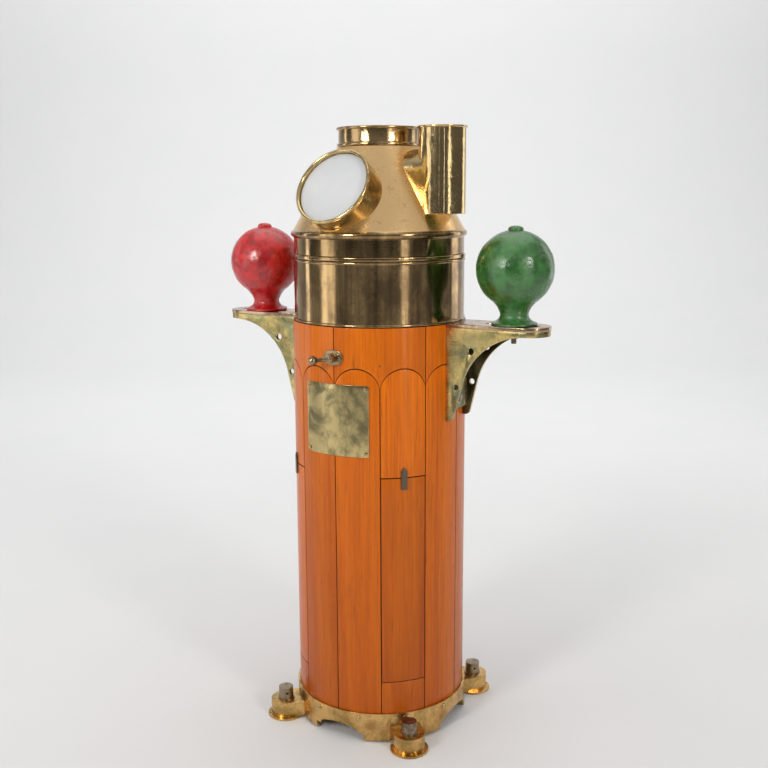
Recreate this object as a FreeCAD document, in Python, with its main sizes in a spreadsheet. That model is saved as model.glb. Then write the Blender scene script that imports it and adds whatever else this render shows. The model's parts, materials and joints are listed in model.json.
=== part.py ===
import FreeCAD, Part

import os
import re

import Sketcher

# A ship's compass binnacle: a staved wooden pedestal on a brass foot ring, a brass compass
# housing with a turning hood, and two iron corrector spheres on slotted brackets.
# Millimetres, +Z up. The origin is on the deck under the pedestal's axis; the helmsman's
# side, with the lever and the nameplate, is -Y, and +X is starboard.

DIMENSIONS = [
    ("wood_radius", 175, "outer radius of the staves"),
    ("wood_wall", 24, "thickness of the staves"),
    ("wood_foot", 46, "bottom of the staves"),
    ("wood_top", 839, "top of the staves"),
    ("stave_angle", 29.84, "angle that one stave covers, degrees"),
    ("arch_spring", 724, "height where a stave's round top begins"),
    ("arch_rise", 37, "height of a stave's round top"),
    ("arch_radius", 46.5, "radius of a stave's round top"),
    ("frieze_angle", 59.84, "angle that one frieze segment covers, degrees"),
    ("door_sill", 128, "bottom of the doors"),
    ("door_head", 548, "top of the doors"),
    ("door_angle", 29.4, "angle that a door covers, degrees"),
    ("door_gap", 1.2, "gap over and under a door"),
    ("ring_radius", 180, "outer radius of the foot ring"),
    ("ring_top", 62, "top of the foot ring"),
    ("apron_foot", 4.3, "bottom of the foot ring and top of the deck pads"),
    ("lug_circle", 210, "distance of a deck bolt from the axis"),
    ("lug_radius", 31, "radius of a lug's round end"),
    ("lug_top", 36, "top of the lugs"),
    ("pad_radius", 38, "radius of a deck pad"),
    ("bolt_hole", 11, "radius of the hole in a lug and its pad"),
    ("bolt_shank", 8, "radius of a deck bolt's shank"),
    ("bolt_head", 15, "radius of a deck bolt's head"),
    ("bolt_top", 61, "top of a deck bolt"),
    ("pad_screw_offset", 34.2, "distance of a pad's screw hole from the bolt"),
    ("pad_screw_hole", 2.25, "radius of a pad's screw hole"),
    ("lever_height", 781, "height of the lever's shaft"),
    ("shaft_radius", 4, "radius of the lever's shaft"),
    ("drum_radius", 12, "radius of the chain drum"),
    ("tube_bore", 20, "inner radius of the heeling magnet tube"),
    ("tube_foot", 400, "bottom of the heeling magnet tube"),
    ("tube_top", 800, "top of the heeling magnet tube"),
    ("bucket_top", 640, "top of the magnet bucket at rest"),
    ("bucket_length", 110, "length of the magnet bucket"),
    ("housing_radius", 171.5, "outer radius of the compass housing"),
    ("housing_top", 962, "top of the compass housing"),
    ("gimbal_height", 925, "height of the gimbal axes"),
    ("gimbal_bore", 110, "inner radius of the gimbal ring"),
    ("gimbal_rim", 116, "outer radius of the gimbal ring"),
    ("pin_radius", 3, "radius of the gimbal pins"),
    ("bowl_radius", 104, "outer radius of the compass bowl"),
    ("card_radius", 85, "radius of the compass card"),
    ("band_radius", 170.5, "outer radius of the hood's band"),
    ("band_foot", 970.3, "bottom of the hood's band"),
    ("shoulder_foot", 1005, "bottom of the hood's shoulder bead"),
    ("shoulder_top", 1017, "top of the hood's shoulder bead"),
    ("cone_foot_radius", 171, "radius of the hood's cone at its foot"),
    ("cone_top_radius", 82, "radius of the hood's cone at its top"),
    ("cone_top", 1176, "top of the hood's cone"),
    ("sheet_wall", 2, "thickness of the hood's sheet brass"),
    ("collar_radius", 79, "outer radius of the collar"),
    ("hood_top", 1214, "top of the collar"),
    ("window_radius", 78, "outer radius of the window tube"),
    ("window_bore", 73, "inner radius of the window tube"),
    ("window_height", 1102, "height of the middle of the window"),
    ("window_reach", 161, "distance of the middle of the window from the axis"),
    ("window_tilt", 30, "angle of the window's axis above the level, degrees"),
    ("lamp_reach", 154, "distance of the lamp tube from the hood's axis"),
    ("lamp_radius", 45, "outer radius of the lamp tube"),
    ("lamp_foot", 1048, "bottom of the lamp tube"),
    ("lamp_top", 1211, "top of the lamp tube"),
    ("trunk_crown", 1126, "height of the axis of the lamp trunk's round crown"),
    ("plate_top", 841, "top of the slotted plates"),
    ("plate_wall", 8, "thickness of the slotted plates"),
    ("plate_half", 41, "half the width of the slotted plates"),
    ("plate_reach", 366, "distance of the end of a slotted plate from the axis"),
    ("slot_start", 236, "distance of the inner end of a slot from the axis"),
    ("slot_end", 344, "distance of the outer end of a slot from the axis"),
    ("slot_half", 6, "half the width of a slot"),
    ("flange_wall", 10, "thickness of a bracket's flange"),
    ("bracket_foot", 650, "bottom of the brackets"),
    ("cheek_wall", 6, "thickness of a bracket's cheeks"),
    ("cheek_sweep", 135, "radius of a cheek's hollow edge"),
    ("sweep_reach", 334, "distance of the middle of that radius from the axis"),
    ("cheek_slope", 14, "lean of the straight edge under it, degrees"),
    ("sphere_radius", 73.5, "radius of the corrector spheres"),
    ("sphere_reach_starboard", 294, "distance of the starboard sphere from the axis at rest"),
    ("sphere_reach_port", 282, "distance of the port sphere from the axis at rest"),
    ("sphere_height", 946, "height of the middle of the spheres"),
    ("stud_radius", 5, "radius of the stud under a sphere"),
    ("fit", 0.06, "radial clearance of the running fits"),
    ("gap", 0.3, "clearance between pieces that move past each other"),
]
ALIASES = {alias for alias, value, note in DIMENSIONS}

STAVE_STEP = 30
DOOR_AZIMUTHS = {"starboard": 45, "port": -45}
LUG_AZIMUTHS = (45, 135, 225, 315)
HOOD_LUG_AZIMUTHS = (-19, 101, 221)
WINDOW_AZIMUTH = -3
LAMP_AZIMUTH = 81
SIDES = {"starboard": 90, "port": -90}

X_AXIS = FreeCAD.Vector(1, 0, 0)
Y_AXIS = FreeCAD.Vector(0, 1, 0)
Z_AXIS = FreeCAD.Vector(0, 0, 1)
UPRIGHT = FreeCAD.Rotation()
OUTWARD = FreeCAD.Rotation(X_AXIS, 90)
SIDEWAYS = FreeCAD.Rotation(Y_AXIS, 90)

doc = FreeCAD.newDocument("binnacle")
dims = doc.addObject("Spreadsheet::Sheet", "dims")
for row, (alias, value, note) in enumerate(DIMENSIONS, start=1):
    dims.set("A%d" % row, note)
    dims.set("B%d" % row, str(value))
    dims.setAlias("B%d" % row, alias)
doc.recompute()

nodes = []


def bound(formula):
    """Write a formula of dimension names as an expression on the sheet."""

    def with_sheet(word):
        return "dims." + word.group() if word.group() in ALIASES else word.group()

    return re.sub(r"[a-z_]+", with_sheet, formula)


def number(formula):
    """The value of a formula of dimension names."""
    return float(dims.evalExpression(formula))


def turned_to(azimuth):
    """The rotation that takes a piece modelled on the helmsman's side to an azimuth."""
    return FreeCAD.Rotation(Z_AXIS, azimuth)


# ---- building blocks ----

def primitive(kind, name, sizes, at=("0", "0", "0"), rotation=UPRIGHT):
    """A Part primitive with its sizes and its place bound to the sheet."""
    solid = doc.addObject("Part::" + kind, name)
    for size, formula in sizes.items():
        solid.setExpression(size, bound(formula))
    solid.Placement.Rotation = rotation
    for axis, formula in zip("xyz", at):
        solid.setExpression("Placement.Base." + axis, bound(formula))
    return solid


def cylinder(name, radius, height, at=("0", "0", "0"), rotation=UPRIGHT):
    return primitive("Cylinder", name, {"Radius": radius, "Height": height}, at, rotation)


def box(name, low, size):
    """An upright box from its lowest corner."""
    return primitive("Box", name, dict(zip(("Length", "Width", "Height"), size)), low)


def fuse(name, pieces):
    joined = doc.addObject("Part::MultiFuse", name)
    joined.Shapes = pieces
    return joined


def common(name, pieces):
    shared = doc.addObject("Part::MultiCommon", name)
    shared.Shapes = pieces
    return shared


def cut(name, solid, cutters):
    """A solid less one cutter or several."""
    result = doc.addObject("Part::Cut", name)
    result.Base = solid
    result.Tool = cutters[0] if len(cutters) == 1 else fuse(name + "_cutters", cutters)
    return result


def group(name, pieces):
    """Several separate solids in one node."""
    result = doc.addObject("Part::Compound", name)
    result.Links = pieces
    return result


def node(solid, azimuth=0):
    """Register a finished sub-part, turned about the pedestal's axis."""
    solid.Label = solid.Name
    if azimuth:
        solid.Placement = FreeCAD.Placement(FreeCAD.Vector(), turned_to(azimuth))
    nodes.append(solid)
    return solid


def body_sketch(body, name, plane_role):
    sketch = body.newObject("Sketcher::SketchObject", name)
    plane = [feature for feature in body.Origin.OriginFeatures if feature.Role == plane_role][0]
    sketch.AttachmentSupport = [(plane, "")]
    sketch.MapMode = "FlatFace"
    return sketch


def outline(sketch, corners):
    """A closed outline whose corners are bound to the sheet."""
    places = [FreeCAD.Vector(number(across), number(up), 0) for across, up in corners]
    count = len(places)
    for index in range(count):
        sketch.addGeometry(Part.LineSegment(places[index], places[(index + 1) % count]), False)
    for index in range(count):
        sketch.addConstraint(Sketcher.Constraint("Coincident", index, 2, (index + 1) % count, 1))
    for index, (across, up) in enumerate(corners):
        for kind, axis, formula, place in (("DistanceX", -2, across, places[index].x),
                                           ("DistanceY", -1, up, places[index].y)):
            if abs(place) < 1e-9:
                sketch.addConstraint(Sketcher.Constraint("PointOnObject", index, 1, axis))
            else:
                added = sketch.addConstraint(Sketcher.Constraint(kind, -1, 1, index, 1, place))
                sketch.setExpression("Constraints[%d]" % added, bound(formula))


def turned(name, corners):
    """A body of revolution about the pedestal's axis, from (radius, height) corners."""
    body = doc.addObject("PartDesign::Body", name)
    sketch = body_sketch(body, name + "_profile", "XZ_Plane")
    outline(sketch, corners)
    turn = body.newObject("PartDesign::Revolution", name + "_turn")
    turn.Profile = sketch
    turn.ReferenceAxis = (sketch, ["V_Axis"])
    turn.Angle = 360
    return body


def sector(name, angle, outer, inner, low, high):
    """Part of a tube, its middle facing -Y."""
    wedge = primitive("Cylinder", name + "_wedge",
                      {"Radius": outer, "Height": "%s - (%s)" % (high, low), "Angle": angle},
                      ("0", "0", low))
    wedge.Placement.Rotation = FreeCAD.Rotation(Z_AXIS, -90 - number(angle) / 2)
    core = cylinder(name + "_core", inner, "%s - (%s) + 2" % (high, low), ("0", "0", "%s - 1" % low))
    return wedge, core


def radial_cylinder(name, radius, start, end, height, across="0"):
    """A cylinder that points out to the helmsman's side, from one distance to another."""
    return cylinder(name, radius, "%s - (%s)" % (end, start), (across, "-(%s)" % start, height), OUTWARD)


# ---- foot ring ----

def foot_lug(azimuth):
    """A rounded lug for a deck bolt, joined to the ring."""
    name = "lug_%d" % azimuth
    tall = "lug_top - apron_foot"
    end = cylinder(name + "_end", "lug_radius", tall, ("0", "-lug_circle", "apron_foot"))
    root = box(name + "_root", ("-lug_radius", "-lug_circle", "apron_foot"),
               ("2 * lug_radius", "lug_circle - wood_radius + 3", tall))
    hole = cylinder(name + "_hole", "bolt_hole", "lug_top", ("0", "-lug_circle", "0"))
    lug = cut(name, fuse(name + "_blank", [end, root]), [hole])
    lug.Placement.Rotation = turned_to(azimuth)
    return lug


def apron_opening(azimuth):
    """The stepped, arched gap through both sides of the apron, between the lugs."""
    name = "opening_%d" % azimuth
    step = box(name + "_step", ("-56", "-200", "0"), ("112", "400", "18"))
    crown = common(name + "_crown", [
        box(name + "_shaft", ("-44", "-200", "0"), ("88", "400", "40")),
        cylinder(name + "_arch", "101.8", "400", ("0", "200", "34 - 101.8"), OUTWARD)])
    opening = fuse(name, [step, crown])
    opening.Placement.Rotation = turned_to(azimuth)
    return opening


def screw_passage(azimuth):
    """Holes for two of the ring's screws, one on each side."""
    passage = cylinder("passage_%d" % azimuth, "2.5 + fit", "400", ("0", "200", "52"), OUTWARD)
    holder = group("passage_turned_%d" % azimuth, [passage])
    holder.Placement.Rotation = turned_to(azimuth)
    return holder


def base_ring():
    ring = turned("ring_blank", [
        ("ring_radius", "apron_foot"), ("ring_radius", "ring_top"), ("wood_radius + gap", "ring_top"),
        ("wood_radius + gap", "wood_foot"), ("140", "wood_foot"), ("140", "wood_foot - 8"),
        ("170", "wood_foot - 8"), ("170", "apron_foot")])
    pierced = cut("ring_pierced", ring,
                  [apron_opening(0), apron_opening(90)]
                  + [screw_passage(azimuth) for azimuth in range(15, 180, STAVE_STEP)])
    node(fuse("base_ring", [pierced] + [foot_lug(azimuth) for azimuth in LUG_AZIMUTHS]))


def deck_pads():
    """The discs under the lugs, each with the deck bolt's hole and a small screw hole."""
    pads = []
    for azimuth in LUG_AZIMUTHS:
        name = "pad_%d" % azimuth
        disc = cylinder(name + "_disc", "pad_radius", "apron_foot", ("0", "-lug_circle", "0"))
        hole = cylinder(name + "_hole", "bolt_hole", "apron_foot", ("0", "-lug_circle", "0"))
        screw = cylinder(name + "_screw", "pad_screw_hole", "apron_foot",
                         ("0", "-lug_circle - pad_screw_offset", "0"))
        pad = cut(name, disc, [hole, screw])
        pad.Placement.Rotation = turned_to(azimuth)
        pads.append(pad)
    node(group("deck_pads", pads))


def deck_bolts():
    """Capstan-headed bolts: shank, collar and a head with a cross hole for a tommy bar."""
    bolts = []
    for azimuth in LUG_AZIMUTHS:
        name = "bolt_%d" % azimuth
        shank = cylinder(name + "_shank", "bolt_shank", "lug_top + 1", ("0", "-lug_circle", "1"))
        collar = cylinder(name + "_collar", "bolt_head + 2", "3", ("0", "-lug_circle", "lug_top"))
        head = cylinder(name + "_head", "bolt_head", "bolt_top - lug_top - 3",
                        ("0", "-lug_circle", "lug_top + 3"))
        bar = cylinder(name + "_bar", "2.5", "60", ("-30", "-lug_circle", "bolt_top - 11"), SIDEWAYS)
        bolt = cut(name, fuse(name + "_blank", [shank, collar, head]), [bar])
        bolt.Placement.Rotation = turned_to(azimuth)
        bolts.append(bolt)
    node(group("deck_bolts", bolts))


def slotted_screw(name, surface, height, across="0", head="5", shank="2.5", depth="4", azimuth=0):
    """A slotted screw seen from outside, its head resting on a round surface."""
    crown = radial_cylinder(name + "_head", head, surface, "%s + 1.8" % surface, height, across)
    stem = radial_cylinder(name + "_stem", shank, "%s - %s" % (surface, depth), "%s + 1" % surface,
                           height, across)
    slot = box(name + "_slot", ("%s - %s" % (across, head), "-(%s) - 2" % surface, "%s - 0.5" % height),
               ("2 * %s" % head, "1.2", "1"))
    screw = cut(name, fuse(name + "_blank", [crown, stem]), [slot])
    screw.Placement.Rotation = turned_to(azimuth)
    return screw


def base_screws():
    screws = [slotted_screw("base_screw_%d" % azimuth, "ring_radius + 0.1", "52", azimuth=azimuth)
              for azimuth in range(15, 360, STAVE_STEP)]
    node(group("base_screws", screws))


# ---- staved pedestal ----

def stave(name, azimuth, low, high, arched):
    """One stave, or the part of it over or under a door."""
    wedge, core = sector(name, "stave_angle", "wood_radius", "wood_radius - wood_wall", low, high)
    if arched:
        spring = box(name + "_shaft", ("-60", "-200", low), ("120", "200", "arch_spring - (%s)" % low))
        arch = radial_cylinder(name + "_arch", "arch_radius", "100", "200",
                               "arch_spring + arch_rise - arch_radius")
        wedge = common(name + "_round", [wedge, fuse(name + "_limits", [spring, arch])])
    node(cut(name, wedge, [core]), azimuth)


def frieze_segment(name, azimuth):
    """A segment of the band over the staves, its lower edge cut to two arches."""
    wedge, core = sector(name, "frieze_angle", "wood_radius", "wood_radius - wood_wall",
                         "arch_spring", "wood_top")
    arches = []
    for side in (-1, 1):
        arch = radial_cylinder("%s_arch_%d" % (name, side + 1), "arch_radius + 0.4", "100", "200",
                               "arch_spring + arch_rise - arch_radius")
        holder = group("%s_arch_turned_%d" % (name, side + 1), [arch])
        holder.Placement.Rotation = turned_to(side * STAVE_STEP / 2)
        arches.append(holder)
    shaft_hole = radial_cylinder(name + "_shaft_hole", "shaft_radius + 3", "140", "200", "lever_height")
    segment = cut(name + "_arched", wedge, [core] + arches)
    segment.Placement.Rotation = turned_to(azimuth)
    node(cut(name, segment, [shaft_hole]))


def staved_pedestal():
    names = {0: "front_starboard", 1: "door", 2: "side_starboard_fore", 3: "side_starboard_aft",
             4: "quarter_starboard", 5: "back_starboard", 6: "back_port", 7: "quarter_port",
             8: "side_port_aft", 9: "side_port_fore", 10: "door", 11: "front_port"}
    for index, name in names.items():
        if name != "door":
            stave("stave_" + name, STAVE_STEP * index + STAVE_STEP / 2, "wood_foot",
                  "arch_spring + arch_rise", True)
    for side, azimuth in DOOR_AZIMUTHS.items():
        stave("lower_stave_" + side, azimuth, "wood_foot", "door_sill - door_gap / 2", False)
        stave("upper_stave_" + side, azimuth, "door_head + door_gap", "arch_spring + arch_rise", True)
        door(side, azimuth)
        door_latch(side, azimuth)
    for index in range(6):
        frieze_segment("frieze_%d" % (index + 1), 60 * index + 30)
    node(turned("head_ring", [
        ("wood_radius - wood_wall - gap", "805"), ("wood_radius - wood_wall - gap", "wood_top"),
        ("135", "wood_top"), ("135", "805")]))


def door(side, azimuth):
    """A door one stave wide that tips out at its top; its tongue stands behind the stave under it."""
    name = "door_" + side
    wedge, core = sector(name, "door_angle", "wood_radius", "wood_radius - wood_wall",
                         "door_sill", "door_head")
    leaf = cut(name + "_leaf", wedge, [core])
    tongue = box(name + "_tongue", ("-20", "-(wood_radius - wood_wall - 1.8)", "door_sill - 10"),
                 ("40", "5", "34"))
    heel = box(name + "_heel", ("-20", "-(wood_radius - wood_wall + 3)", "door_sill + 4"),
               ("40", "8", "20"))
    spindle_hole = radial_cylinder(name + "_spindle_hole", "3 + fit", "140", "180", "door_head - 4")
    node(cut(name, fuse(name + "_blank", [leaf, tongue, heel]), [spindle_hole]), azimuth)


def door_latch(side, azimuth):
    """A thumb plate on a spindle through the top of the door, held by a disc inside."""
    name = "door_latch_" + side
    plate = doc.addObject("PartDesign::Body", name + "_plate")
    sketch = body_sketch(plate, name + "_shape", "XZ_Plane")
    outline(sketch, [("-6", "door_head - 22"), ("6", "door_head - 22"), ("6", "door_head + 15"),
                     ("0", "door_head + 22"), ("-6", "door_head + 15")])
    pad = plate.newObject("PartDesign::Pad", name + "_pad")
    pad.Profile = sketch
    pad.Length = 2.5
    plate.Placement.Base = FreeCAD.Vector(0, -number("wood_radius + 0.8"), 0)
    spindle = radial_cylinder(name + "_spindle", "3", "wood_radius - wood_wall - 7", "wood_radius + 1",
                              "door_head - 4")
    disc = radial_cylinder(name + "_disc", "9", "wood_radius - wood_wall - 6.5",
                           "wood_radius - wood_wall - 3", "door_head - 4")
    node(fuse(name, [plate, spindle, disc]), azimuth)


# ---- nameplate and lever ----

def nameplate():
    """A blank curved brass plate on the helmsman's side."""
    wedge, core = sector("nameplate", "46.4", "wood_radius + 1.9", "wood_radius + 0.1", "590", "730")
    node(cut("nameplate", wedge, [core]))


def escutcheon():
    """The oval plate that the lever's shaft turns in."""
    back = "wood_radius + 0.1"
    front = "wood_radius + 2.6"
    middle = box("escutcheon_middle", ("-6.5", "-(%s)" % front, "lever_height - 14.5"), ("13", "2.5", "29"))
    ends = [radial_cylinder("escutcheon_end_%d" % (side + 1), "14.5", back, front, "lever_height",
                            "6.5 * %d" % side) for side in (-1, 1)]
    hole = radial_cylinder("escutcheon_hole", "shaft_radius + fit", back, front, "lever_height")
    node(cut("escutcheon", fuse("escutcheon_blank", [middle] + ends), [hole]))


def plate_screws():
    screws = [slotted_screw("nameplate_screw_%d_%d" % (side + 1, height), "wood_radius + 2", str(height),
                            head="3.5", shank="1.6", depth="0.05", azimuth=21 * side)
              for side in (-1, 1) for height in (597, 723)]
    screws += [slotted_screw("escutcheon_screw_%d" % (side + 1), "wood_radius + 2.65", "lever_height",
                             "15.5 * %d" % side, "2.8", "1.2", "0.04") for side in (-1, 1)]
    node(group("plate_screws", screws))


def lever():
    """The crank: shaft, hub, slanting arm and ball."""
    shaft = cylinder("lever_shaft", "shaft_radius", "192 + 24", ("0", "24", "lever_height"), OUTWARD)
    hub = radial_cylinder("lever_hub", "9", "wood_radius + 3.1", "194", "lever_height")
    start = FreeCAD.Vector(0, -188, number("lever_height"))
    end = FreeCAD.Vector(-28, -205, number("lever_height") - 4)
    arm = doc.addObject("Part::Cone", "lever_arm")
    arm.Radius1 = 5.5
    arm.Radius2 = 3.5
    arm.Height = (end - start).Length
    arm.Placement = FreeCAD.Placement(start, FreeCAD.Rotation(Z_AXIS, end - start))
    ball = primitive("Sphere", "lever_ball", {"Radius": "9"}, ("-28", "-205", "lever_height - 4"))
    node(fuse("lever", [shaft, hub, arm, ball]))


def magnet_gear():
    """Chain drum, heeling magnet tube with its strap, bucket and chain."""
    drum = cylinder("drum_blank", "drum_radius", "24", ("0", "12", "lever_height"), OUTWARD)
    bore = cylinder("drum_bore", "shaft_radius + 0.02", "30", ("0", "15", "lever_height"), OUTWARD)
    node(cut("magnet_drum", drum, [bore]))

    wall = turned("magnet_tube_wall", [
        ("tube_bore", "tube_foot"), ("tube_bore + 2.5", "tube_foot"), ("tube_bore + 2.5", "tube_top"),
        ("tube_bore", "tube_top")])
    bar = common("magnet_tube_strap", [
        box("strap_bar", ("-160", "-12", "tube_top"), ("320", "24", "5")),
        cylinder("strap_limit", "wood_radius - wood_wall - gap", "5", ("0", "0", "tube_top"))])
    bearing = cylinder("magnet_tube_bearing", "shaft_radius + fit", "60", ("0", "30", "lever_height"),
                       OUTWARD)
    node(cut("magnet_tube", fuse("magnet_tube_blank", [wall, bar]), [bearing]))

    node(turned("magnet_bucket", [
        ("0", "bucket_top - bucket_length"), ("17", "bucket_top - bucket_length"), ("17", "bucket_top"),
        ("0", "bucket_top")]))
    node(cylinder("bucket_chain", "1.5", "lever_height - bucket_top - 0.3",
                  ("drum_radius + 1.8", "0", "bucket_top + 0.3")))


def magnet_rack():
    """The wooden rack for the corrector magnets, its bores empty, on arms between the staves."""
    block = box("rack_block", ("-90", "-20", "300"), ("180", "40", "60"))
    bores = [cylinder("rack_bore_%d" % index, "5", "60", ("%d" % across, "30", "330"), OUTWARD)
             for index, across in enumerate(range(-75, 76, 25))]
    ends = [box("rack_arm_%d" % side, ("%d" % (-150 if side < 0 else 90), "-20", "300"), ("60", "40", "8"))
            for side in (-1, 1)]
    limit = cylinder("rack_limit", "wood_radius - wood_wall - gap", "80", ("0", "0", "290"))
    node(cut("magnet_rack", common("rack_blank", [fuse("rack_parts", [block] + ends), limit]), bores))


# ---- compass ----

def housing():
    node(turned("housing", [
        ("24", "wood_top"), ("wood_radius - 1", "wood_top"), ("wood_radius - 1", "wood_top + 6"),
        ("housing_radius", "wood_top + 6"), ("housing_radius", "housing_top - 7"),
        ("housing_radius + 2", "housing_top - 7"), ("housing_radius + 2", "housing_top"),
        ("housing_radius - 3", "housing_top"), ("housing_radius - 3", "wood_top + 3"),
        ("24", "wood_top + 3")]))


def gimbal():
    shelf = turned("bearer_shelf", [
        ("122", "gimbal_height - 22"), ("housing_radius - 3.2", "gimbal_height - 22"),
        ("housing_radius - 3.2", "gimbal_height - 16"), ("122", "gimbal_height - 16")])
    blocks = [box("bearer_block_%d" % index, ("-8", start, "gimbal_height - 16"), ("16", "11", "27"))
              for index, start in enumerate(("123", "-134"))]
    bore = cylinder("bearer_bore", "pin_radius + fit", "280", ("0", "140", "gimbal_height"), OUTWARD)
    node(cut("gimbal_bearer", fuse("bearer_blank", [shelf] + blocks), [bore]))

    ring = turned("gimbal_band", [
        ("gimbal_bore", "gimbal_height - 8"), ("gimbal_rim", "gimbal_height - 8"),
        ("gimbal_rim", "gimbal_height + 8"), ("gimbal_bore", "gimbal_height + 8")])
    cross = cylinder("gimbal_cross_bore", "pin_radius + fit", "260", ("-130", "0", "gimbal_height"), SIDEWAYS)
    pierced = cut("gimbal_pierced", ring, [cross])
    pins = [cylinder("gimbal_pin_%d" % index, "pin_radius", "20", ("0", start, "gimbal_height"), OUTWARD)
            for index, start in enumerate(("133", "-gimbal_rim + 3"))]
    node(fuse("gimbal_ring", [pierced] + pins))


def compass():
    axis = "gimbal_height"
    shell = turned("bowl_shell", [
        ("0", axis + " - 55"), ("60", axis + " - 55"), ("bowl_radius - 4", axis + " - 8"),
        ("bowl_radius", axis + " - 8"), ("bowl_radius", axis + " + 12"), ("bowl_radius - 6", axis + " + 12"),
        ("bowl_radius - 6", axis + " + 4"), ("bowl_radius - 10", axis + " + 4"),
        ("bowl_radius - 10", axis + " - 10"), ("56", axis + " - 51"), ("0", axis + " - 51")])
    pivot = cylinder("bowl_pivot", "1.5", "45", ("0", "0", axis + " - 52"))
    pins = [cylinder("bowl_pin_%d" % index, "pin_radius", "14", (start, "0", axis), SIDEWAYS)
            for index, start in enumerate(("bowl_radius - 2.5", "-bowl_radius - 11.5"))]
    node(fuse("compass_bowl", [shell, pivot] + pins))
    node(turned("bowl_glass", [
        ("0", axis + " + 4"), ("bowl_radius - 6.1", axis + " + 4"), ("bowl_radius - 6.1", axis + " + 8"),
        ("0", axis + " + 8")]))
    node(turned("compass_card", [
        ("0", axis + " - 6.6"), ("6", axis + " - 6.6"), ("6", axis + " - 2"), ("card_radius", axis + " - 2"),
        ("card_radius", axis + " - 0.8"), ("6", axis + " - 0.8"), ("3", axis + " + 2"),
        ("0", axis + " + 2")]))


# ---- hood ----

def hood_ring():
    """The turning ring that carries the hood, guided by a spigot in the housing."""
    ring = turned("hood_ring_band", [
        ("163", "housing_top - 12"), ("housing_radius - 3.3", "housing_top - 12"),
        ("housing_radius - 3.3", "housing_top + gap"), ("housing_radius + 2", "housing_top + gap"),
        ("housing_radius + 2", "band_foot - gap"), ("163", "band_foot - gap")])
    lugs = []
    for azimuth in HOOD_LUG_AZIMUTHS:
        lug = box("hood_lug_%d" % azimuth, ("-5", "-(housing_radius + 4)", "housing_top + gap"),
                  ("10", "4", "band_foot - housing_top - 2 * gap"))
        turn = turned_to(azimuth)
        holder = group("hood_lug_turned_%d" % azimuth, [lug])
        holder.Placement.Rotation = turn
        lugs.append(holder)
    node(fuse("hood_ring", [ring] + lugs))


def cone_solid(name, skin):
    """The hood's cone and shoulder as a solid that reaches skin beyond the sheet's outer face."""
    return turned(name, [
        ("0", "900"), ("cone_foot_radius + 4.5 + %s" % skin, "900"),
        ("cone_foot_radius + 4.5 + %s" % skin, "shoulder_top + %s" % skin),
        ("cone_foot_radius + %s" % skin, "shoulder_top + %s" % skin),
        ("cone_top_radius + %s" % skin, "cone_top"), ("0", "cone_top")])


def window_cylinder(name, radius, start, end):
    """A cylinder on the window's axis; start and end are distances from the middle of its front."""
    solid = doc.addObject("Part::Cylinder", name)
    solid.setExpression("Radius", bound(radius))
    solid.setExpression("Height", bound("%s - (%s)" % (end, start)))
    lean = FreeCAD.Rotation(X_AXIS, 90 - number("window_tilt"))
    turn = turned_to(WINDOW_AZIMUTH)
    rotation = turn.multiply(lean)
    front = turn.multVec(FreeCAD.Vector(0, -number("window_reach"), number("window_height")))
    along = rotation.multVec(Z_AXIS)
    solid.Placement = FreeCAD.Placement(front + along * number(start), rotation)
    return solid


def trunk_solid(name, skin):
    """The lamp tube and its arched trunk, shrunk by skin; the trunk runs into the cone."""
    half = "lamp_radius - 1 - %s" % skin
    low = "lamp_foot + %s" % skin
    bottom = box(name + "_walls", ("-(%s)" % half, "-lamp_reach", low),
                 ("2 * (%s)" % half, "lamp_reach - 60", "trunk_crown - (%s)" % low))
    crown = radial_cylinder(name + "_crown", half, "60", "lamp_reach", "trunk_crown")
    return [bottom, crown]


def hood():
    """Band, shoulder bead and cone, open for the window and the lamp trunk."""
    shell = turned("hood_shell", [
        ("band_radius", "band_foot"), ("band_radius", "shoulder_foot"),
        ("cone_foot_radius + 4.5", "shoulder_foot"), ("cone_foot_radius + 4.5", "shoulder_top"),
        ("cone_foot_radius", "shoulder_top"),
        ("cone_top_radius", "cone_top"), ("cone_top_radius - 3", "cone_top"),
        ("cone_foot_radius - 3", "shoulder_top - 1"), ("band_radius - sheet_wall", "shoulder_foot"),
        ("band_radius - sheet_wall", "band_foot")])
    window = window_cylinder("hood_window_opening", "window_bore", "-140", "20")
    trunk = fuse("hood_trunk_opening", trunk_solid("hood_trunk", "1.5"))
    trunk.Placement.Rotation = turned_to(LAMP_AZIMUTH)
    node(cut("hood", shell, [window, trunk]))

    tube = cut("window_tube_ring", window_cylinder("window_tube_outer", "window_radius", "-120", "0"),
               [window_cylinder("window_tube_inner", "window_bore", "-125", "5")])
    node(cut("window_tube", tube, [cone_solid("window_cone", "0.1")]))
    node(window_cylinder("window_glass", "window_bore - 0.2", "-11", "-7"))

    node(turned("collar", [
        ("74", "cone_top"), ("collar_radius + 3.5", "cone_top"), ("collar_radius + 3.5", "cone_top + 8"),
        ("collar_radius", "cone_top + 8"), ("collar_radius", "hood_top - 4"),
        ("collar_radius + 4.5", "hood_top - 4"), ("collar_radius + 4.5", "hood_top"),
        ("collar_radius - 2", "hood_top"),
        ("collar_radius - 2", "cone_top + 12"), ("74", "cone_top + 12")]))
    node(turned("collar_lid", [
        ("0", "cone_top + 12.3"), ("collar_radius - 2.4", "cone_top + 12.3"),
        ("collar_radius - 2.4", "cone_top + 15"), ("5", "cone_top + 15"), ("5", "cone_top + 24"),
        ("10", "cone_top + 27"), ("10", "cone_top + 33"), ("0", "cone_top + 33")]))


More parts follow.
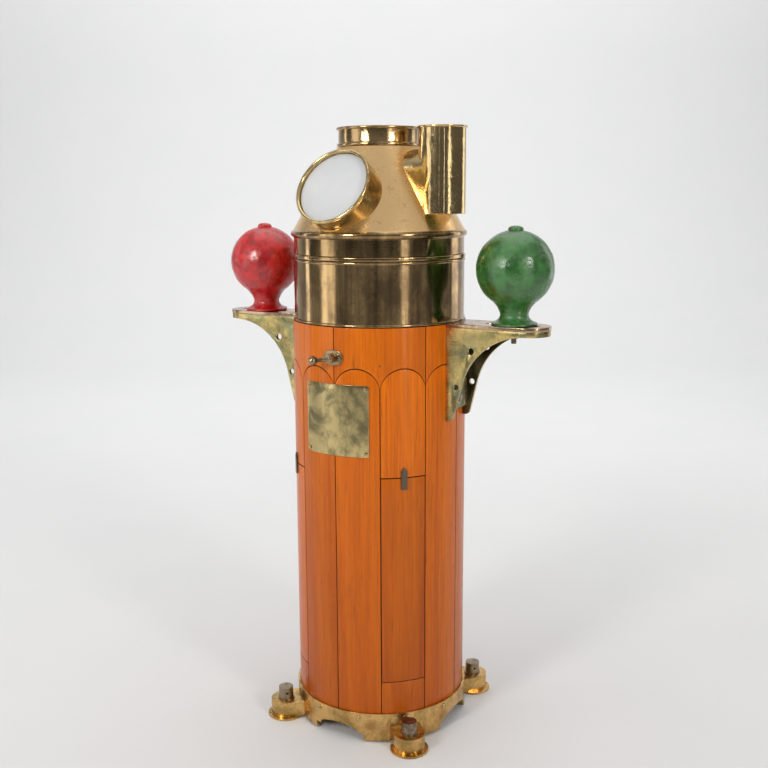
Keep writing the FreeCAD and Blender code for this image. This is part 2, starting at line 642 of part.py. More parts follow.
def lamp_tube():
    """The tube for the oil lamp with its arched trunk, one soldered sheet brass piece."""
    centre = ("0", "-lamp_reach")
    barrel = cylinder("lamp_barrel", "lamp_radius", "lamp_top - lamp_foot", centre + ("lamp_foot",))
    rim = cylinder("lamp_rim", "lamp_radius + 3", "3.5", centre + ("lamp_top - 3.5",))
    room = cylinder("lamp_room", "lamp_radius - 1.5", "lamp_top - lamp_foot", centre + ("lamp_foot + 1.5",))
    outside = fuse("lamp_outside", [barrel, rim] + trunk_solid("lamp_trunk", "0"))
    inside = fuse("lamp_inside", [room] + trunk_solid("lamp_duct", "1.5"))
    case = cut("lamp_case", outside, [inside])
    case.Placement.Rotation = turned_to(LAMP_AZIMUTH)
    node(cut("lamp_tube", case, [cone_solid("lamp_cone", "0.1")]))

    reservoir = cylinder("lamp_reservoir", "lamp_radius - 5", "30", centre + ("lamp_foot + 2",))
    burner = cylinder("lamp_burner", "12", "16", centre + ("lamp_foot + 32",))
    chimney = cylinder("lamp_chimney", "17", "66", centre + ("lamp_foot + 48",))
    lamp = fuse("oil_lamp", [reservoir, burner, chimney])
    node(lamp, LAMP_AZIMUTH)


# ---- brackets and spheres ----

def bracket(side, azimuth):
    """A hollow casting: top flange, two cheeks with a swept edge and a back plate."""
    name = "bracket_" + side
    under = "plate_top - plate_wall - flange_wall"
    span = "plate_reach - plate_half - 160"
    flange = box(name + "_flange", ("-plate_half + 1", "-(plate_reach - plate_half)", under),
                 ("2 * plate_half - 2", span, "flange_wall"))
    nose = cylinder(name + "_nose", "plate_half - 1", "flange_wall",
                    ("0", "-(plate_reach - plate_half)", under))
    sweep = cylinder(name + "_sweep", "cheek_sweep", "100", ("-50", "-sweep_reach", under + " - cheek_sweep"),
                     SIDEWAYS)
    slant = primitive("Box", name + "_slant", {"Length": "100", "Width": "cheek_sweep", "Height": "120"},
                      ("-50", "-(sweep_reach - cheek_sweep * cos(cheek_slope * 1 deg))",
                       under + " - cheek_sweep + cheek_sweep * sin(cheek_slope * 1 deg)"),
                      FreeCAD.Rotation(X_AXIS, 180 + number("cheek_slope")))
    parts = [flange, nose]
    for index, across in enumerate(("-plate_half + 1", "plate_half - 1 - cheek_wall")):
        cheek = box("%s_cheek_%d" % (name, index), (across, "-(plate_reach - plate_half)", "bracket_foot"),
                    ("cheek_wall", span, "%s + 5 - bracket_foot" % under))
        parts.append(cut("%s_cheek_cut_%d" % (name, index), cheek, [sweep, slant]))
    back = box(name + "_back", ("-plate_half + 1", "-181", "bracket_foot + 20"),
               ("2 * plate_half - 2", "21", "%s + 5 - bracket_foot - 20" % under))
    parts.append(back)
    wood = cylinder(name + "_wood", "wood_radius + 0.1", "300", ("0", "0", "600"))
    holes = [cylinder(name + "_hole_high", "6.5", "120", ("-60", "-223", "790"), SIDEWAYS),
             cylinder(name + "_hole_low", "5.75", "120", ("-60", "-192", "718"), SIDEWAYS)]
    slot = slot_cutter(name, "slot_half + 2", "600", "300")
    bolts = [radial_cylinder("%s_bolt_hole_%d" % (name, height), "4 + fit", "160", "200", str(height))
             for height in (690, 800)]
    node(cut(name, fuse(name + "_blank", parts), [wood] + holes + slot + bolts), azimuth)


def slot_cutter(name, half, low, tall):
    """The slot that a sphere's stud slides in."""
    return [
        box(name + "_slot", ("-(%s)" % half, "-slot_end + slot_half", low),
            ("2 * (%s)" % half, "slot_end - slot_start - 2 * slot_half", tall)),
        cylinder(name + "_slot_in", half, tall, ("0", "-slot_start - slot_half", low)),
        cylinder(name + "_slot_out", half, tall, ("0", "-slot_end + slot_half", low))]


def slotted_plates():
    plates = []
    for side, azimuth in SIDES.items():
        name = "plate_" + side
        low = "plate_top - plate_wall"
        run = box(name + "_run", ("-plate_half", "-(plate_reach - plate_half)", low),
                  ("2 * plate_half", "plate_reach - plate_half - 160", "plate_wall"))
        end = cylinder(name + "_end", "plate_half", "plate_wall", ("0", "-(plate_reach - plate_half)", low))
        wood = cylinder(name + "_wood", "wood_radius + 0.1", "300", ("0", "0", "600"))
        slot = slot_cutter(name, "slot_half", low, "plate_wall")
        plate = cut(name, fuse(name + "_blank", [run, end]), [wood] + slot)
        plate.Placement.Rotation = turned_to(azimuth)
        plates.append(plate)
    node(group("slotted_plates", plates))


def bracket_bolts():
    """Two round-headed bolts hold each bracket's back plate to the pedestal."""
    bolts = []
    for side, azimuth in SIDES.items():
        for height in (690, 800):
            name = "bracket_bolt_%s_%d" % (side, height)
            head = radial_cylinder(name + "_head", "8", "181.1", "186", str(height))
            stem = radial_cylinder(name + "_stem", "4", "wood_radius + 0.2", "183", str(height))
            bolt = fuse(name, [head, stem])
            bolt.Placement.Rotation = turned_to(azimuth)
            bolts.append(bolt)
    node(group("bracket_bolts", bolts))


def corrector_sphere(side, azimuth):
    """An iron sphere on a waisted foot, with a domed plug on top, and its clamping stud and nut."""
    name = "sphere_" + side
    centre = ("0", "-sphere_reach_" + side)
    crown = "sphere_height + sphere_radius"
    ball = primitive("Sphere", name + "_ball", {"Radius": "sphere_radius"}, centre + ("sphere_height",))
    plug = cylinder(name + "_plug", "15", "8", centre + (crown + " - 5",))
    dome = primitive("Cone", name + "_dome", {"Radius1": "15", "Radius2": "8", "Height": "4"},
                     centre + (crown + " + 3",))
    flare = primitive("Cone", name + "_flare", {"Radius1": "27", "Radius2": "39", "Height": "19"},
                      centre + ("plate_top + 24",))
    waist = cylinder(name + "_waist", "27", "35", centre + ("plate_top + 5",))
    skirt = primitive("Cone", name + "_skirt", {"Radius1": "37", "Radius2": "27", "Height": "9"},
                      centre + ("plate_top + 7",))
    foot = cylinder(name + "_foot", "44", "7", centre + ("plate_top + gap",))
    node(fuse(name, [ball, plug, dome, flare, waist, skirt, foot]), azimuth)

    stud_name = "clamp_stud_" + side
    stud = cylinder(stud_name + "_stem", "stud_radius", "36", centre + ("plate_top - 36 + gap",))
    nut = primitive("Prism", stud_name + "_nut", {"Circumradius": "10.5", "Height": "7"},
                    centre + ("plate_top - plate_wall - flange_wall - 7.3",))
    nut.Polygon = 6
    node(fuse(stud_name, [stud, nut]), azimuth)


base_ring()
deck_pads()
deck_bolts()
base_screws()
staved_pedestal()
nameplate()
escutcheon()
plate_screws()
lever()
magnet_gear()
magnet_rack()
housing()
gimbal()
compass()
hood_ring()
hood()
lamp_tube()
slotted_plates()
bracket_bolts()
for side, azimuth in SIDES.items():
    bracket(side, azimuth)
    corrector_sphere(side, azimuth)

doc.recompute()

faults = [item.Name for item in doc.Objects if {"Invalid", "Error"} & set(item.State)]
for item in nodes:
    if item.Shape.isNull() or not item.Shape.isValid() or not item.Shape.Solids:
        faults.append(item.Label)
if faults:
    raise RuntimeError("these failed: " + ", ".join(faults))

os.makedirs("parts", exist_ok=True)
for item in nodes:
    item.Shape.exportStep("parts/%s.step" % item.Label)
print("%d nodes, %d solids" % (len(nodes), sum(len(item.Shape.Solids) for item in nodes)))
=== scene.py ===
import json
import math

import bmesh
import bpy
from mathutils import Matrix, Vector, noise

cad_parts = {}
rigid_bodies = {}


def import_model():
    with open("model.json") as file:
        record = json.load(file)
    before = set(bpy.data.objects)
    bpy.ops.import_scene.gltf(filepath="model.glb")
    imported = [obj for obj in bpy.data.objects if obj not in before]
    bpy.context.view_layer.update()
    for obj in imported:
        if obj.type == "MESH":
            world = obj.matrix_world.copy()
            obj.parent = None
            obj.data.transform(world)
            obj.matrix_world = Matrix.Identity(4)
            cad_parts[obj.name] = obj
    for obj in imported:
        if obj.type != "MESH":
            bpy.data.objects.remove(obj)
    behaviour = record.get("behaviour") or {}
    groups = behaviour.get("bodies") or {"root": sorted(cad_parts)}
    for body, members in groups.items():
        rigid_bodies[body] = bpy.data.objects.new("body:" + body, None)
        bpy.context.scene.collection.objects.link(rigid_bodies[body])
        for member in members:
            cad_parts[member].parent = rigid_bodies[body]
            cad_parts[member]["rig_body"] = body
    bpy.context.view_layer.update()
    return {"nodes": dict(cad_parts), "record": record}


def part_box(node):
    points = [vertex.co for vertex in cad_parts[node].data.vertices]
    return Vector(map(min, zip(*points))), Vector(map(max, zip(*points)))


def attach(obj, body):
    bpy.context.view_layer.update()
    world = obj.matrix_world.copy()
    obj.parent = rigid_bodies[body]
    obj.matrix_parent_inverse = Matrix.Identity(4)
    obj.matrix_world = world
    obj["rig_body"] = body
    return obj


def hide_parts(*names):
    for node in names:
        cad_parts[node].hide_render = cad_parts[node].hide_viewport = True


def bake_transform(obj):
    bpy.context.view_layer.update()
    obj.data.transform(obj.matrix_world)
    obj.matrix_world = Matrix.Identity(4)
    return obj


# The looks of a ship's compass binnacle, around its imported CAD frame. Metres, +Z up;
# the helmsman's side is -Y and starboard is +X.

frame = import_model()

MM = 0.001
STAVE_STEP = 30
DOOR_AZIMUTHS = {"starboard": 45, "port": -45}
WINDOW_AZIMUTH = -3
WINDOW_TILT = 30
LAMP_AZIMUTH = 81
HOOD_LUG_AZIMUTHS = (-19, 101, 221)

SLOTS = {row["node"]: row["material_slot"] for row in frame["record"]["subparts"]}


# ---- places read from the frame ----

def node_low(name):
    return Vector(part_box(name)[0])


def node_high(name):
    return Vector(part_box(name)[1])


def node_middle(name):
    return (node_low(name) + node_high(name)) / 2


WOOD_RADIUS = 0.175
WOOD_WALL = 0.024
WOOD_FOOT = node_low("lower_stave_starboard").z
SILL_GAP = 0.6 * MM
DOOR_SILL = node_high("lower_stave_starboard").z + SILL_GAP
DOOR_HEAD = node_high("door_starboard").z
ARCH_TOP = node_high("stave_front_port").z
ARCH_RADIUS = 0.0465
WOOD_TOP = node_high("frieze_1").z


# ---- mesh helpers ----

def linked(name, data):
    """A new object in the scene."""
    item = bpy.data.objects.new(name, data)
    bpy.context.scene.collection.objects.link(item)
    return item


def tool_object(name, vertices, faces):
    """A loose mesh object, with its faces turned outwards."""
    mesh = bpy.data.meshes.new(name)
    mesh.from_pydata([tuple(vertex) for vertex in vertices], [], faces)
    shape = bmesh.new()
    shape.from_mesh(mesh)
    bmesh.ops.recalc_face_normals(shape, faces=shape.faces)
    shape.to_mesh(mesh)
    shape.free()
    return linked(name, mesh)


def piece_from(name, vertices, faces, material, body, replaced=(), slot=None, smooth=True):
    """A mesh piece that rides on a body and stands for CAD nodes."""
    piece = tool_object(name, vertices, faces)
    finish_piece(piece, material, body, replaced, slot, smooth)
    return piece


def finish_piece(piece, material, body, replaced=(), slot=None, smooth=True):
    """Turn the faces outwards, then give the piece its material and body, and hide the CAD nodes it replaces.
    """
    tidy = bmesh.new()
    tidy.from_mesh(piece.data)
    bmesh.ops.recalc_face_normals(tidy, faces=tidy.faces)
    tidy.to_mesh(piece.data)
    tidy.free()
    piece.data.materials.clear()
    piece.data.materials.append(material)
    if smooth:
        soften(piece)
    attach(piece, body)
    if replaced:
        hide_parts(*replaced)
        slot = slot or SLOTS[replaced[0]]


def soften(piece, angle=35):
    """Smooth shading with the sharp edges kept."""
    for polygon in piece.data.polygons:
        polygon.use_smooth = True
    piece.data.set_sharp_from_angle(angle=math.radians(angle))


def apply_modifiers(piece):
    """Bake a piece's modifiers into its mesh."""
    graph = bpy.context.evaluated_depsgraph_get()
    mesh = bpy.data.meshes.new_from_object(piece.evaluated_get(graph))
    piece.modifiers.clear()
    piece.data = mesh


def join_meshes(pieces, name):
    """Several mesh objects as one. All of their shells are kept."""
    joined = bmesh.new()
    for piece in pieces:
        part = piece.data.copy()
        part.transform(piece.matrix_world)
        joined.from_mesh(part)
        bpy.data.meshes.remove(part)
    mesh = bpy.data.meshes.new(name)
    joined.to_mesh(mesh)
    joined.free()
    for piece in pieces:
        bpy.data.objects.remove(piece)
    return linked(name, mesh)


def arc(centre, radius, start, end, count=8):
    """Points of an arc in a lathe outline, angles in degrees."""
    points = []
    for index in range(count + 1):
        angle = math.radians(start + (end - start) * index / count)
        points.append((centre[0] + radius * math.cos(angle), centre[1] + radius * math.sin(angle)))
    return points


def lathe_mesh(outline, segments=128, close=True, centre=(0, 0)):
    """Vertices and faces of an outline of (radius, height) points turned about a vertical axis."""
    vertices = []
    faces = []
    rings = []
    for radius, height in outline:
        if radius < 1e-7:
            rings.append([len(vertices)])
            vertices.append(Vector((centre[0], centre[1], height)))
        else:
            ring = []
            for index in range(segments):
                angle = 2 * math.pi * index / segments
                ring.append(len(vertices))
                vertices.append(Vector((centre[0] + radius * math.cos(angle),
                                        centre[1] + radius * math.sin(angle), height)))
            rings.append(ring)
    pairs = list(zip(rings, rings[1:]))
    if close and outline[0][0] > 1e-7:
        pairs.append((rings[-1], rings[0]))
    for low, high in pairs:
        if len(low) == 1 and len(high) == 1:
            continue
        for index in range(segments):
            following = (index + 1) % segments
            if len(low) == 1:
                faces.append((low[0], high[index], high[following]))
            elif len(high) == 1:
                faces.append((low[index], low[following], high[0]))
            else:
                faces.append((low[index], low[following], high[following], high[index]))
    return vertices, faces


def lathe_tool(name, outline, segments=128, place=None, centre=(0, 0)):
    """A loose turned object."""
    vertices, faces = lathe_mesh(outline, segments, centre=centre)
    if place:
        vertices = [place @ vertex for vertex in vertices]
    return tool_object(name, vertices, faces)


def lathe(name, outline, material, body, replaced, slot=None, **shape):
    """A turned piece."""
    finish_piece(lathe_tool(name, outline, **shape), material, body, replaced, slot)


def azimuth_matrix(azimuth):
    """The turn that brings the helmsman's side to an azimuth."""
    return Matrix.Rotation(math.radians(azimuth), 4, "Z")


def around(radius, azimuth, height):
    """A point at an azimuth from the helmsman's side, counted towards starboard."""
    angle = math.radians(azimuth)
    return Vector((radius * math.sin(angle), -radius * math.cos(angle), height))


def refined(node, material, bevel):
    """A CAD node's shape with its edges rounded, in place of the node."""
    source = frame["nodes"][node]
    piece = linked(node + "_finish", source.data.copy())
    clean = bmesh.new()
    clean.from_mesh(piece.data)
    bmesh.ops.remove_doubles(clean, verts=clean.verts, dist=2e-6)
    bmesh.ops.dissolve_limit(clean, angle_limit=math.radians(0.6), verts=clean.verts, edges=clean.edges)
    clean.to_mesh(piece.data)
    clean.free()
    if node in BRACKETS:
        round_tips(piece.data)
    rounding = piece.modifiers.new("edges", "BEVEL")
    rounding.width = bevel
    rounding.segments = 2
    rounding.limit_method = "ANGLE"
    rounding.angle_limit = math.radians(32)
    rounding.harden_normals = False
    apply_modifiers(piece)
    finish_piece(piece, material, source["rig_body"], (node,))
    return piece


# ---- materials ----

class Nodes:
    """A short way to write a material's node tree."""

    def __init__(self, name):
        self.material = bpy.data.materials.new(name)
        self.material.use_nodes = True
        self.tree = self.material.node_tree
        self.shader = self.tree.nodes["Principled BSDF"]

    def add(self, kind, inputs=None, **settings):
        item = self.tree.nodes.new(kind)
        for key, value in settings.items():
            setattr(item, key, value)
        for key, value in (inputs or {}).items():
            if isinstance(value, bpy.types.NodeSocket):
                self.tree.links.new(value, item.inputs[key])
            else:
                item.inputs[key].default_value = value
        return item

    def place(self, scale=(1, 1, 1), offset=(0, 0, 0)):
        """Object coordinates in metres, scaled evenly or along each axis, and moved."""
        if not isinstance(scale, tuple):
            scale = (scale, scale, scale)
        coordinates = self.add("ShaderNodeTexCoord").outputs["Object"]
        inputs = {"Vector": coordinates, "Scale": scale, "Location": offset}
        return self.add("ShaderNodeMapping", inputs).outputs[0]

    def noise(self, vector, detail, roughness=0.55, distortion=0.0):
        inputs = {"Vector": vector, "Scale": 1.0, "Detail": detail, "Roughness": roughness,
                  "Distortion": distortion}
        return self.add("ShaderNodeTexNoise", inputs).outputs["Fac"]

    def ramp(self, factor, *stops):
        """A colour ramp from (position, colour or grey) stops."""
        item = self.add("ShaderNodeValToRGB", {"Fac": factor})
        elements = item.color_ramp.elements
        while len(elements) < len(stops):
            elements.new(0.5)
        for element, (position, colour) in zip(elements, stops):
            element.position = position
            element.color = (*colour, 1) if isinstance(colour, tuple) else (colour, colour, colour, 1)
        return item.outputs["Color"]

    def mix(self, factor, first, second):
        item = self.add("ShaderNodeMix", data_type="RGBA")
        for socket, value in ((item.inputs[0], factor), (item.inputs[6], first), (item.inputs[7], second)):
            if isinstance(value, bpy.types.NodeSocket):
                self.tree.links.new(value, socket)
            else:
                socket.default_value = (*value, 1) if isinstance(value, tuple) else value
        return item.outputs[2]

    def math(self, operation, first, second):
        return self.add("ShaderNodeMath", {0: first, 1: second}, operation=operation).outputs[0]

    def bump(self, height, strength, distance, normal=None):
        inputs = {"Height": height, "Strength": strength, "Distance": distance}
        if normal is not None:
            inputs["Normal"] = normal
        return self.add("ShaderNodeBump", inputs).outputs[0]

    def wear(self):
        """Edges and corners that hands and cloths have rubbed: 1 on a sharp outer edge."""
        pointiness = self.add("ShaderNodeNewGeometry").outputs["Pointiness"]
        return self.ramp(pointiness, (0.52, 0.0), (0.62, 1.0))

    def set(self, **sockets):
        """Give the shader its values, and return the material."""
        names = {"colour": "Base Color", "metal": "Metallic", "rough": "Roughness", "normal": "Normal",
                 "coat": "Coat Weight", "coat_rough": "Coat Roughness", "specular": "Specular IOR Level",
                 "transmission": "Transmission Weight", "ior": "IOR"}
        for key, value in sockets.items():
            socket = self.shader.inputs[names[key]]
            if isinstance(value, bpy.types.NodeSocket):
                self.tree.links.new(value, socket)
            else:
                socket.default_value = (*value, 1) if isinstance(value, tuple) else value
        return self.material


def wood(name, seed, tone=1.0, varnished=True):
    """Varnished teak: long fine grain, darker pores and streaks, and darker and a little redder towards the
    foot.
    """
    tree = Nodes(name)
    shift = (seed * 1.37, seed * 2.11, seed * 0.73)
    long_grain = tree.place((26, 26, 1.1), shift)
    fine_grain = tree.place((210, 210, 6), shift)
    figure = tree.noise(long_grain, 5, 0.6, 0.6)
    fibres = tree.noise(fine_grain, 6, 0.7)
    pores = tree.noise(tree.place((700, 700, 16), shift), 3, 0.6)
    # The wood gets darker and a little redder from the top down to the foot.
    height = tree.add("ShaderNodeSeparateXYZ", {"Vector": tree.place(1)}).outputs["Z"]
    span = {"Value": height, "From Min": WOOD_FOOT, "From Max": WOOD_TOP, "To Min": 0.0, "To Max": 1.0}
    lift = tree.add("ShaderNodeMapRange", span).outputs[0]
    low = tree.ramp(figure, (0.3, (0.41 * tone, 0.072 * tone, 0.003)),
                    (0.52, (0.51 * tone, 0.104 * tone, 0.003)), (0.72, (0.56 * tone, 0.124 * tone, 0.004)))
    high = tree.ramp(figure, (0.3, (0.64 * tone, 0.124 * tone, 0.001)),
                     (0.52, (0.74 * tone, 0.160 * tone, 0.001)), (0.72, (0.80 * tone, 0.184 * tone, 0.002)))
    colour = tree.mix(tree.ramp(lift, (0.05, 0.0), (0.95, 1.0)), low, high)
    colour = tree.mix(tree.ramp(fibres, (0.35, 0.34), (0.60, 0.0)), colour, (0.20, 0.040, 0.005))
    colour = tree.mix(tree.ramp(pores, (0.30, 0.55), (0.39, 0.0)), colour, (0.08, 0.017, 0.004))
    stains = tree.noise(tree.place((9, 9, 5), shift), 6, 0.7)
    colour = tree.mix(tree.ramp(stains, (0.60, 0.0), (0.82, 0.45)), colour, (0.15, 0.035, 0.009))
    # Painted shade: the seam attribute darkens the wood along the panels' rounded edges and joints, and makes
    # their inner faces nearly black.
    seam = tree.add("ShaderNodeAttribute", attribute_name="seam").outputs["Fac"]
    colour = tree.mix(tree.ramp(seam, (0.06, 0.0), (0.55, 0.92)), colour, (0.035, 0.010, 0.004))
    rough = tree.ramp(tree.noise(tree.place((16, 16, 7), shift), 5), (0.3, 0.24), (0.75, 0.42))
    normal = tree.bump(fibres, 0.16, 0.0005)
    normal = tree.bump(figure, 0.15, 0.002, normal)
    tree.set(colour=colour, rough=rough, normal=normal, specular=0.20)
    if varnished:
        tree.set(coat=0.14, coat_rough=0.08)
    return tree.material


def brass(name, clean, tarnish, spots, dulled, rough, streaks=False, scale=1.0, bump=0.06,
          mark_scale=34, tint=None):
    """Brass with cloudy tarnish, small dark spots, fine scratches and brighter rubbed edges."""
    tree = Nodes(name)
    clouds = tree.noise(tree.place((scale * 6, scale * 6, scale * 4)), 7, 0.62, 0.4)
    blotches = tree.noise(tree.place((scale * 19, scale * 19, scale * 13), (3, 1, 7)), 6, 0.66, 0.2)
    cover = tree.math("ADD", tree.math("MULTIPLY", clouds, 0.65), tree.math("MULTIPLY", blotches, 0.35))
    tarnished = tree.ramp(cover, (0.66 - dulled * 0.3, 0.0), (0.76 - dulled * 0.3, 1.0))
    colour = tree.mix(tarnished, clean, tarnish)
    if tint:
        drift = tree.noise(tree.place((scale * 9, scale * 9, scale * 7), (8, 6, 4)), 5, 0.6, 0.8)
        colour = tree.mix(tree.ramp(drift, (0.46, 0.0), (0.62, 0.8)), colour, tint)
    if streaks:
        runs = tree.noise(tree.place((45, 45, 2.2), (5, 0, 2)), 5, 0.6)
        colour = tree.mix(tree.ramp(runs, (0.40, 0.0), (0.64, 0.75)), colour, spots)
    marks = tree.noise(tree.place(mark_scale, (9, 4, 1)), 8, 0.72)
    colour = tree.mix(tree.ramp(marks, (0.58, 0.0), (0.70, 0.75)), colour, spots)
    colour = tree.mix(tree.math("MULTIPLY", tree.wear(), 0.6), colour, clean)
    scratches = tree.noise(tree.place((60, 60, 900), (1, 2, 3)), 3, 0.5)
    spread = tree.math("ADD", tree.math("MULTIPLY", blotches, 0.7), tree.math("MULTIPLY", scratches, 0.3))
    roughness = tree.ramp(spread, (0.34, rough[0]), (0.66, rough[1]))
    normal = tree.bump(scratches, 0.05, 0.0002)
    normal = tree.bump(clouds, bump, 0.006, normal)
    normal = tree.bump(marks, 0.08, 0.0006, normal)
    return tree.set(colour=colour, metal=1.0, rough=roughness, normal=normal)


def paint(name, colour, dark, chip):
    """Thick glossy paint over cast iron: brush lumps, worn spots and dark chips."""
    tree = Nodes(name)
    lumps = tree.noise(tree.place(38), 5, 0.6)
    grit = tree.noise(tree.place(150, (4, 2, 6)), 4, 0.6)
    chips = tree.noise(tree.place(62, (7, 3, 2)), 8, 0.68)
    patches = tree.noise(tree.place(11, (2, 8, 5)), 3, 0.5)
    shade = tree.mix(tree.ramp(lumps, (0.35, 0.0), (0.7, 1.0)), dark, colour)
    chipped = tree.math("MULTIPLY", tree.ramp(chips, (0.59, 0.0), (0.62, 1.0)),
                        tree.ramp(patches, (0.45, 0.12), (0.60, 1.0)))
    shade = tree.mix(chipped, shade, chip)
    rough = tree.mix(chipped, tree.ramp(lumps, (0.35, 0.12), (0.65, 0.42)), (0.6, 0.6, 0.6))
    normal = tree.bump(lumps, 0.5, 0.0022)
    normal = tree.bump(grit, 0.35, 0.0010, normal)
    normal = tree.bump(chipped, 0.5, -0.0005, normal)
    return tree.set(colour=shade, rough=rough, normal=normal, specular=0.85)


def glass_opal():
    """The window's glass, clouded white by age."""
    tree = Nodes("clouded_window_glass")
    haze = tree.noise(tree.place(7), 3, 0.5)
    colour = tree.ramp(haze, (0.35, (0.58, 0.59, 0.605)), (0.68, (0.69, 0.695, 0.70)))
    smears = tree.noise(tree.place((30, 30, 6)), 4, 0.6)
    rough = tree.ramp(smears, (0.35, 0.05), (0.75, 0.14))
    return tree.set(colour=colour, rough=rough, specular=0.6, coat=0.5, coat_rough=0.03)


def glass_clear():
    """The bowl's glass, lightly smeared."""
    tree = Nodes("bowl_glass")
    smears = tree.noise(tree.place(40), 3, 0.5)
    rough = tree.ramp(smears, (0.4, 0.0), (0.8, 0.06))
    return tree.set(colour=(0.93, 0.97, 0.96), rough=rough, transmission=1.0, ior=1.5)


def card_face():
    """Aged paper."""
    tree = Nodes("compass_card_paper")
    fibres = tree.noise(tree.place(220), 4, 0.6)
    age = tree.noise(tree.place(22), 4, 0.6)
    colour = tree.mix(tree.ramp(age, (0.4, 0.0), (0.8, 0.5)), (0.83, 0.79, 0.68), (0.70, 0.62, 0.46))
    return tree.set(colour=colour, rough=0.7, normal=tree.bump(fibres, 0.1, 0.0002))


def card_ink():
    """Black ink, worn grey in places."""
    tree = Nodes("compass_card_ink")
    wear = tree.noise(tree.place(160), 4, 0.6)
    colour = tree.ramp(wear, (0.4, (0.015, 0.016, 0.02)), (0.8, (0.05, 0.05, 0.055)))
    return tree.set(colour=colour, rough=0.55)


def iron_steel():
    """Dull steel of the chain."""
    tree = Nodes("dull_steel")
    clouds = tree.noise(tree.place(60), 6, 0.65)
    colour = tree.ramp(clouds, (0.35, (0.20, 0.19, 0.18)), (0.7, (0.42, 0.40, 0.38)))
    return tree.set(colour=colour, metal=1.0, rough=tree.ramp(clouds, (0.3, 0.35), (0.7, 0.55)),
                    normal=tree.bump(clouds, 0.12, 0.0008))


def studio_surface(name, grey, warm):
    """Matt pale paper for the floor and wall."""
    tree = Nodes(name)
    speckle = tree.noise(tree.place(3), 3, 0.5)
    colour = tree.ramp(speckle, (0.3, (grey * warm, grey, grey)),
                       (0.8, (grey * 1.03 * warm, grey * 1.02, grey * 1.02)))
    return tree.set(colour=colour, rough=0.85)


TEAKS = [wood("teak_%d" % seed, seed, tone) for seed, tone in enumerate((1.0, 0.9, 1.08, 0.95, 1.03))]
INNER_WOOD = wood("oiled_inner_wood", 11, 0.6, False)
# Each brass: clean colour, tarnish, dark spots, how dull, and the range of roughness.
# The hood brass is lighter than the band's: partly a brighter satin finish, partly painted light for the top
# light that falls on the upward-facing cone.
HOOD_BRASS = brass("hood_brass", (0.92, 0.60, 0.28), (0.74, 0.47, 0.20), (0.42, 0.25, 0.11),
                   0.35, (0.19, 0.32), scale=1.2)
POLISHED_BRASS = brass("collar_brass", (0.46, 0.315, 0.155), (0.21, 0.140, 0.07), (0.09, 0.055, 0.03),
                       0.6, (0.07, 0.18), bump=0.20, scale=2.5)
LAMP_BRASS = brass("lamp_brass", (0.72, 0.53, 0.265), (0.36, 0.27, 0.135), (0.15, 0.11, 0.055),
                   0.6, (0.06, 0.16), bump=0.42, scale=1.9)
HOUSING_BRASS = brass("housing_brass", (0.56, 0.375, 0.175), (0.28, 0.185, 0.090), (0.09, 0.058, 0.032),
                      0.6, (0.07, 0.20), streaks=True, bump=0.06, scale=1.5, mark_scale=42)
TARNISHED = brass("tarnished_brass", (0.60, 0.46, 0.18), (0.22, 0.18, 0.085), (0.14, 0.075, 0.035),
                  0.6, (0.16, 0.40), scale=2.6, tint=(0.17, 0.23, 0.14))
# A dark brass that paints the shade between a bracket's cheeks onto their inner faces.
PAINTED_SHADE_BRASS = brass("painted_shade_brass", (0.13, 0.105, 0.055), (0.055, 0.045, 0.022), (0.025, 0.02, 0.012),
                     0.6, (0.3, 0.5), scale=3)
BLACKENED = brass("blackened_brass", (0.16, 0.12, 0.085), (0.055, 0.042, 0.032), (0.02, 0.018, 0.015),
                  0.5, (0.25, 0.45), scale=6)
PLATE_BRASS = brass("nameplate_brass", (0.60, 0.47, 0.22), (0.25, 0.205, 0.10), (0.10, 0.075, 0.035),
                    0.55, (0.10, 0.28), scale=2.4, tint=(0.15, 0.135, 0.07))
BASE_BRASS = brass("foot_brass", (0.72, 0.45, 0.17), (0.40, 0.215, 0.07), (0.14, 0.07, 0.03),
                   0.5, (0.18, 0.38), scale=2.4, mark_scale=60, tint=(0.30, 0.21, 0.06))
DARK_BRONZE = brass("dark_bronze", (0.33, 0.25, 0.175), (0.13, 0.098, 0.075), (0.05, 0.038, 0.032),
                    0.5, (0.22, 0.42), scale=5)
AGED_BRASS = brass("aged_brass", (0.34, 0.25, 0.145), (0.15, 0.11, 0.065), (0.06, 0.042, 0.026),
                   0.6, (0.18, 0.36), scale=6)
SCREW_BRASS = brass("screw_brass", (0.62, 0.45, 0.22), (0.26, 0.17, 0.08), (0.08, 0.05, 0.03),
                    0.5, (0.16, 0.34), scale=6)
RAIL_BRONZE = brass("rail_bronze", (0.52, 0.37, 0.24), (0.23, 0.155, 0.10), (0.08, 0.055, 0.04),
                    0.55, (0.12, 0.30), scale=3, mark_scale=50)
WINDOW_BRASS = brass("window_brass", (0.64, 0.47, 0.22), (0.33, 0.24, 0.11), (0.13, 0.09, 0.04),
                     0.5, (0.07, 0.20), scale=2.2, bump=0.35)
GREEN_PAINT = paint("green_paint", (0.052, 0.205, 0.040), (0.016, 0.085, 0.013), (0.085, 0.050, 0.045))
RED_PAINT = paint("red_paint", (0.74, 0.012, 0.013), (0.36, 0.004, 0.005), (0.10, 0.015, 0.015))
OPAL_GLASS = glass_opal()
CLEAR_GLASS = glass_clear()
CARD = card_face()
INK = card_ink()
STEEL = iron_steel()


# ---- staved pedestal ----

EDGE = 1.5 * MM


def edge_steps(low, high, middle_count, edge=EDGE):
    """Positions from low to high, close together at both ends where the edges are rounded."""
    near = (0, 0.25, 0.6, 1.0)
    start = [low + edge * step for step in near]
    end = [high - edge * step for step in reversed(near)]
    middle = [start[-1] + (end[0] - start[-1]) * index / middle_count for index in range(1, middle_count)]
    return start + middle + end


def inset(distance, edge=EDGE):
    """How far a rounded edge lies under the face, this far from the edge."""
    if distance >= edge:
        return 0.0
    return edge - math.sqrt(max(edge ** 2 - (edge - distance) ** 2, 0))


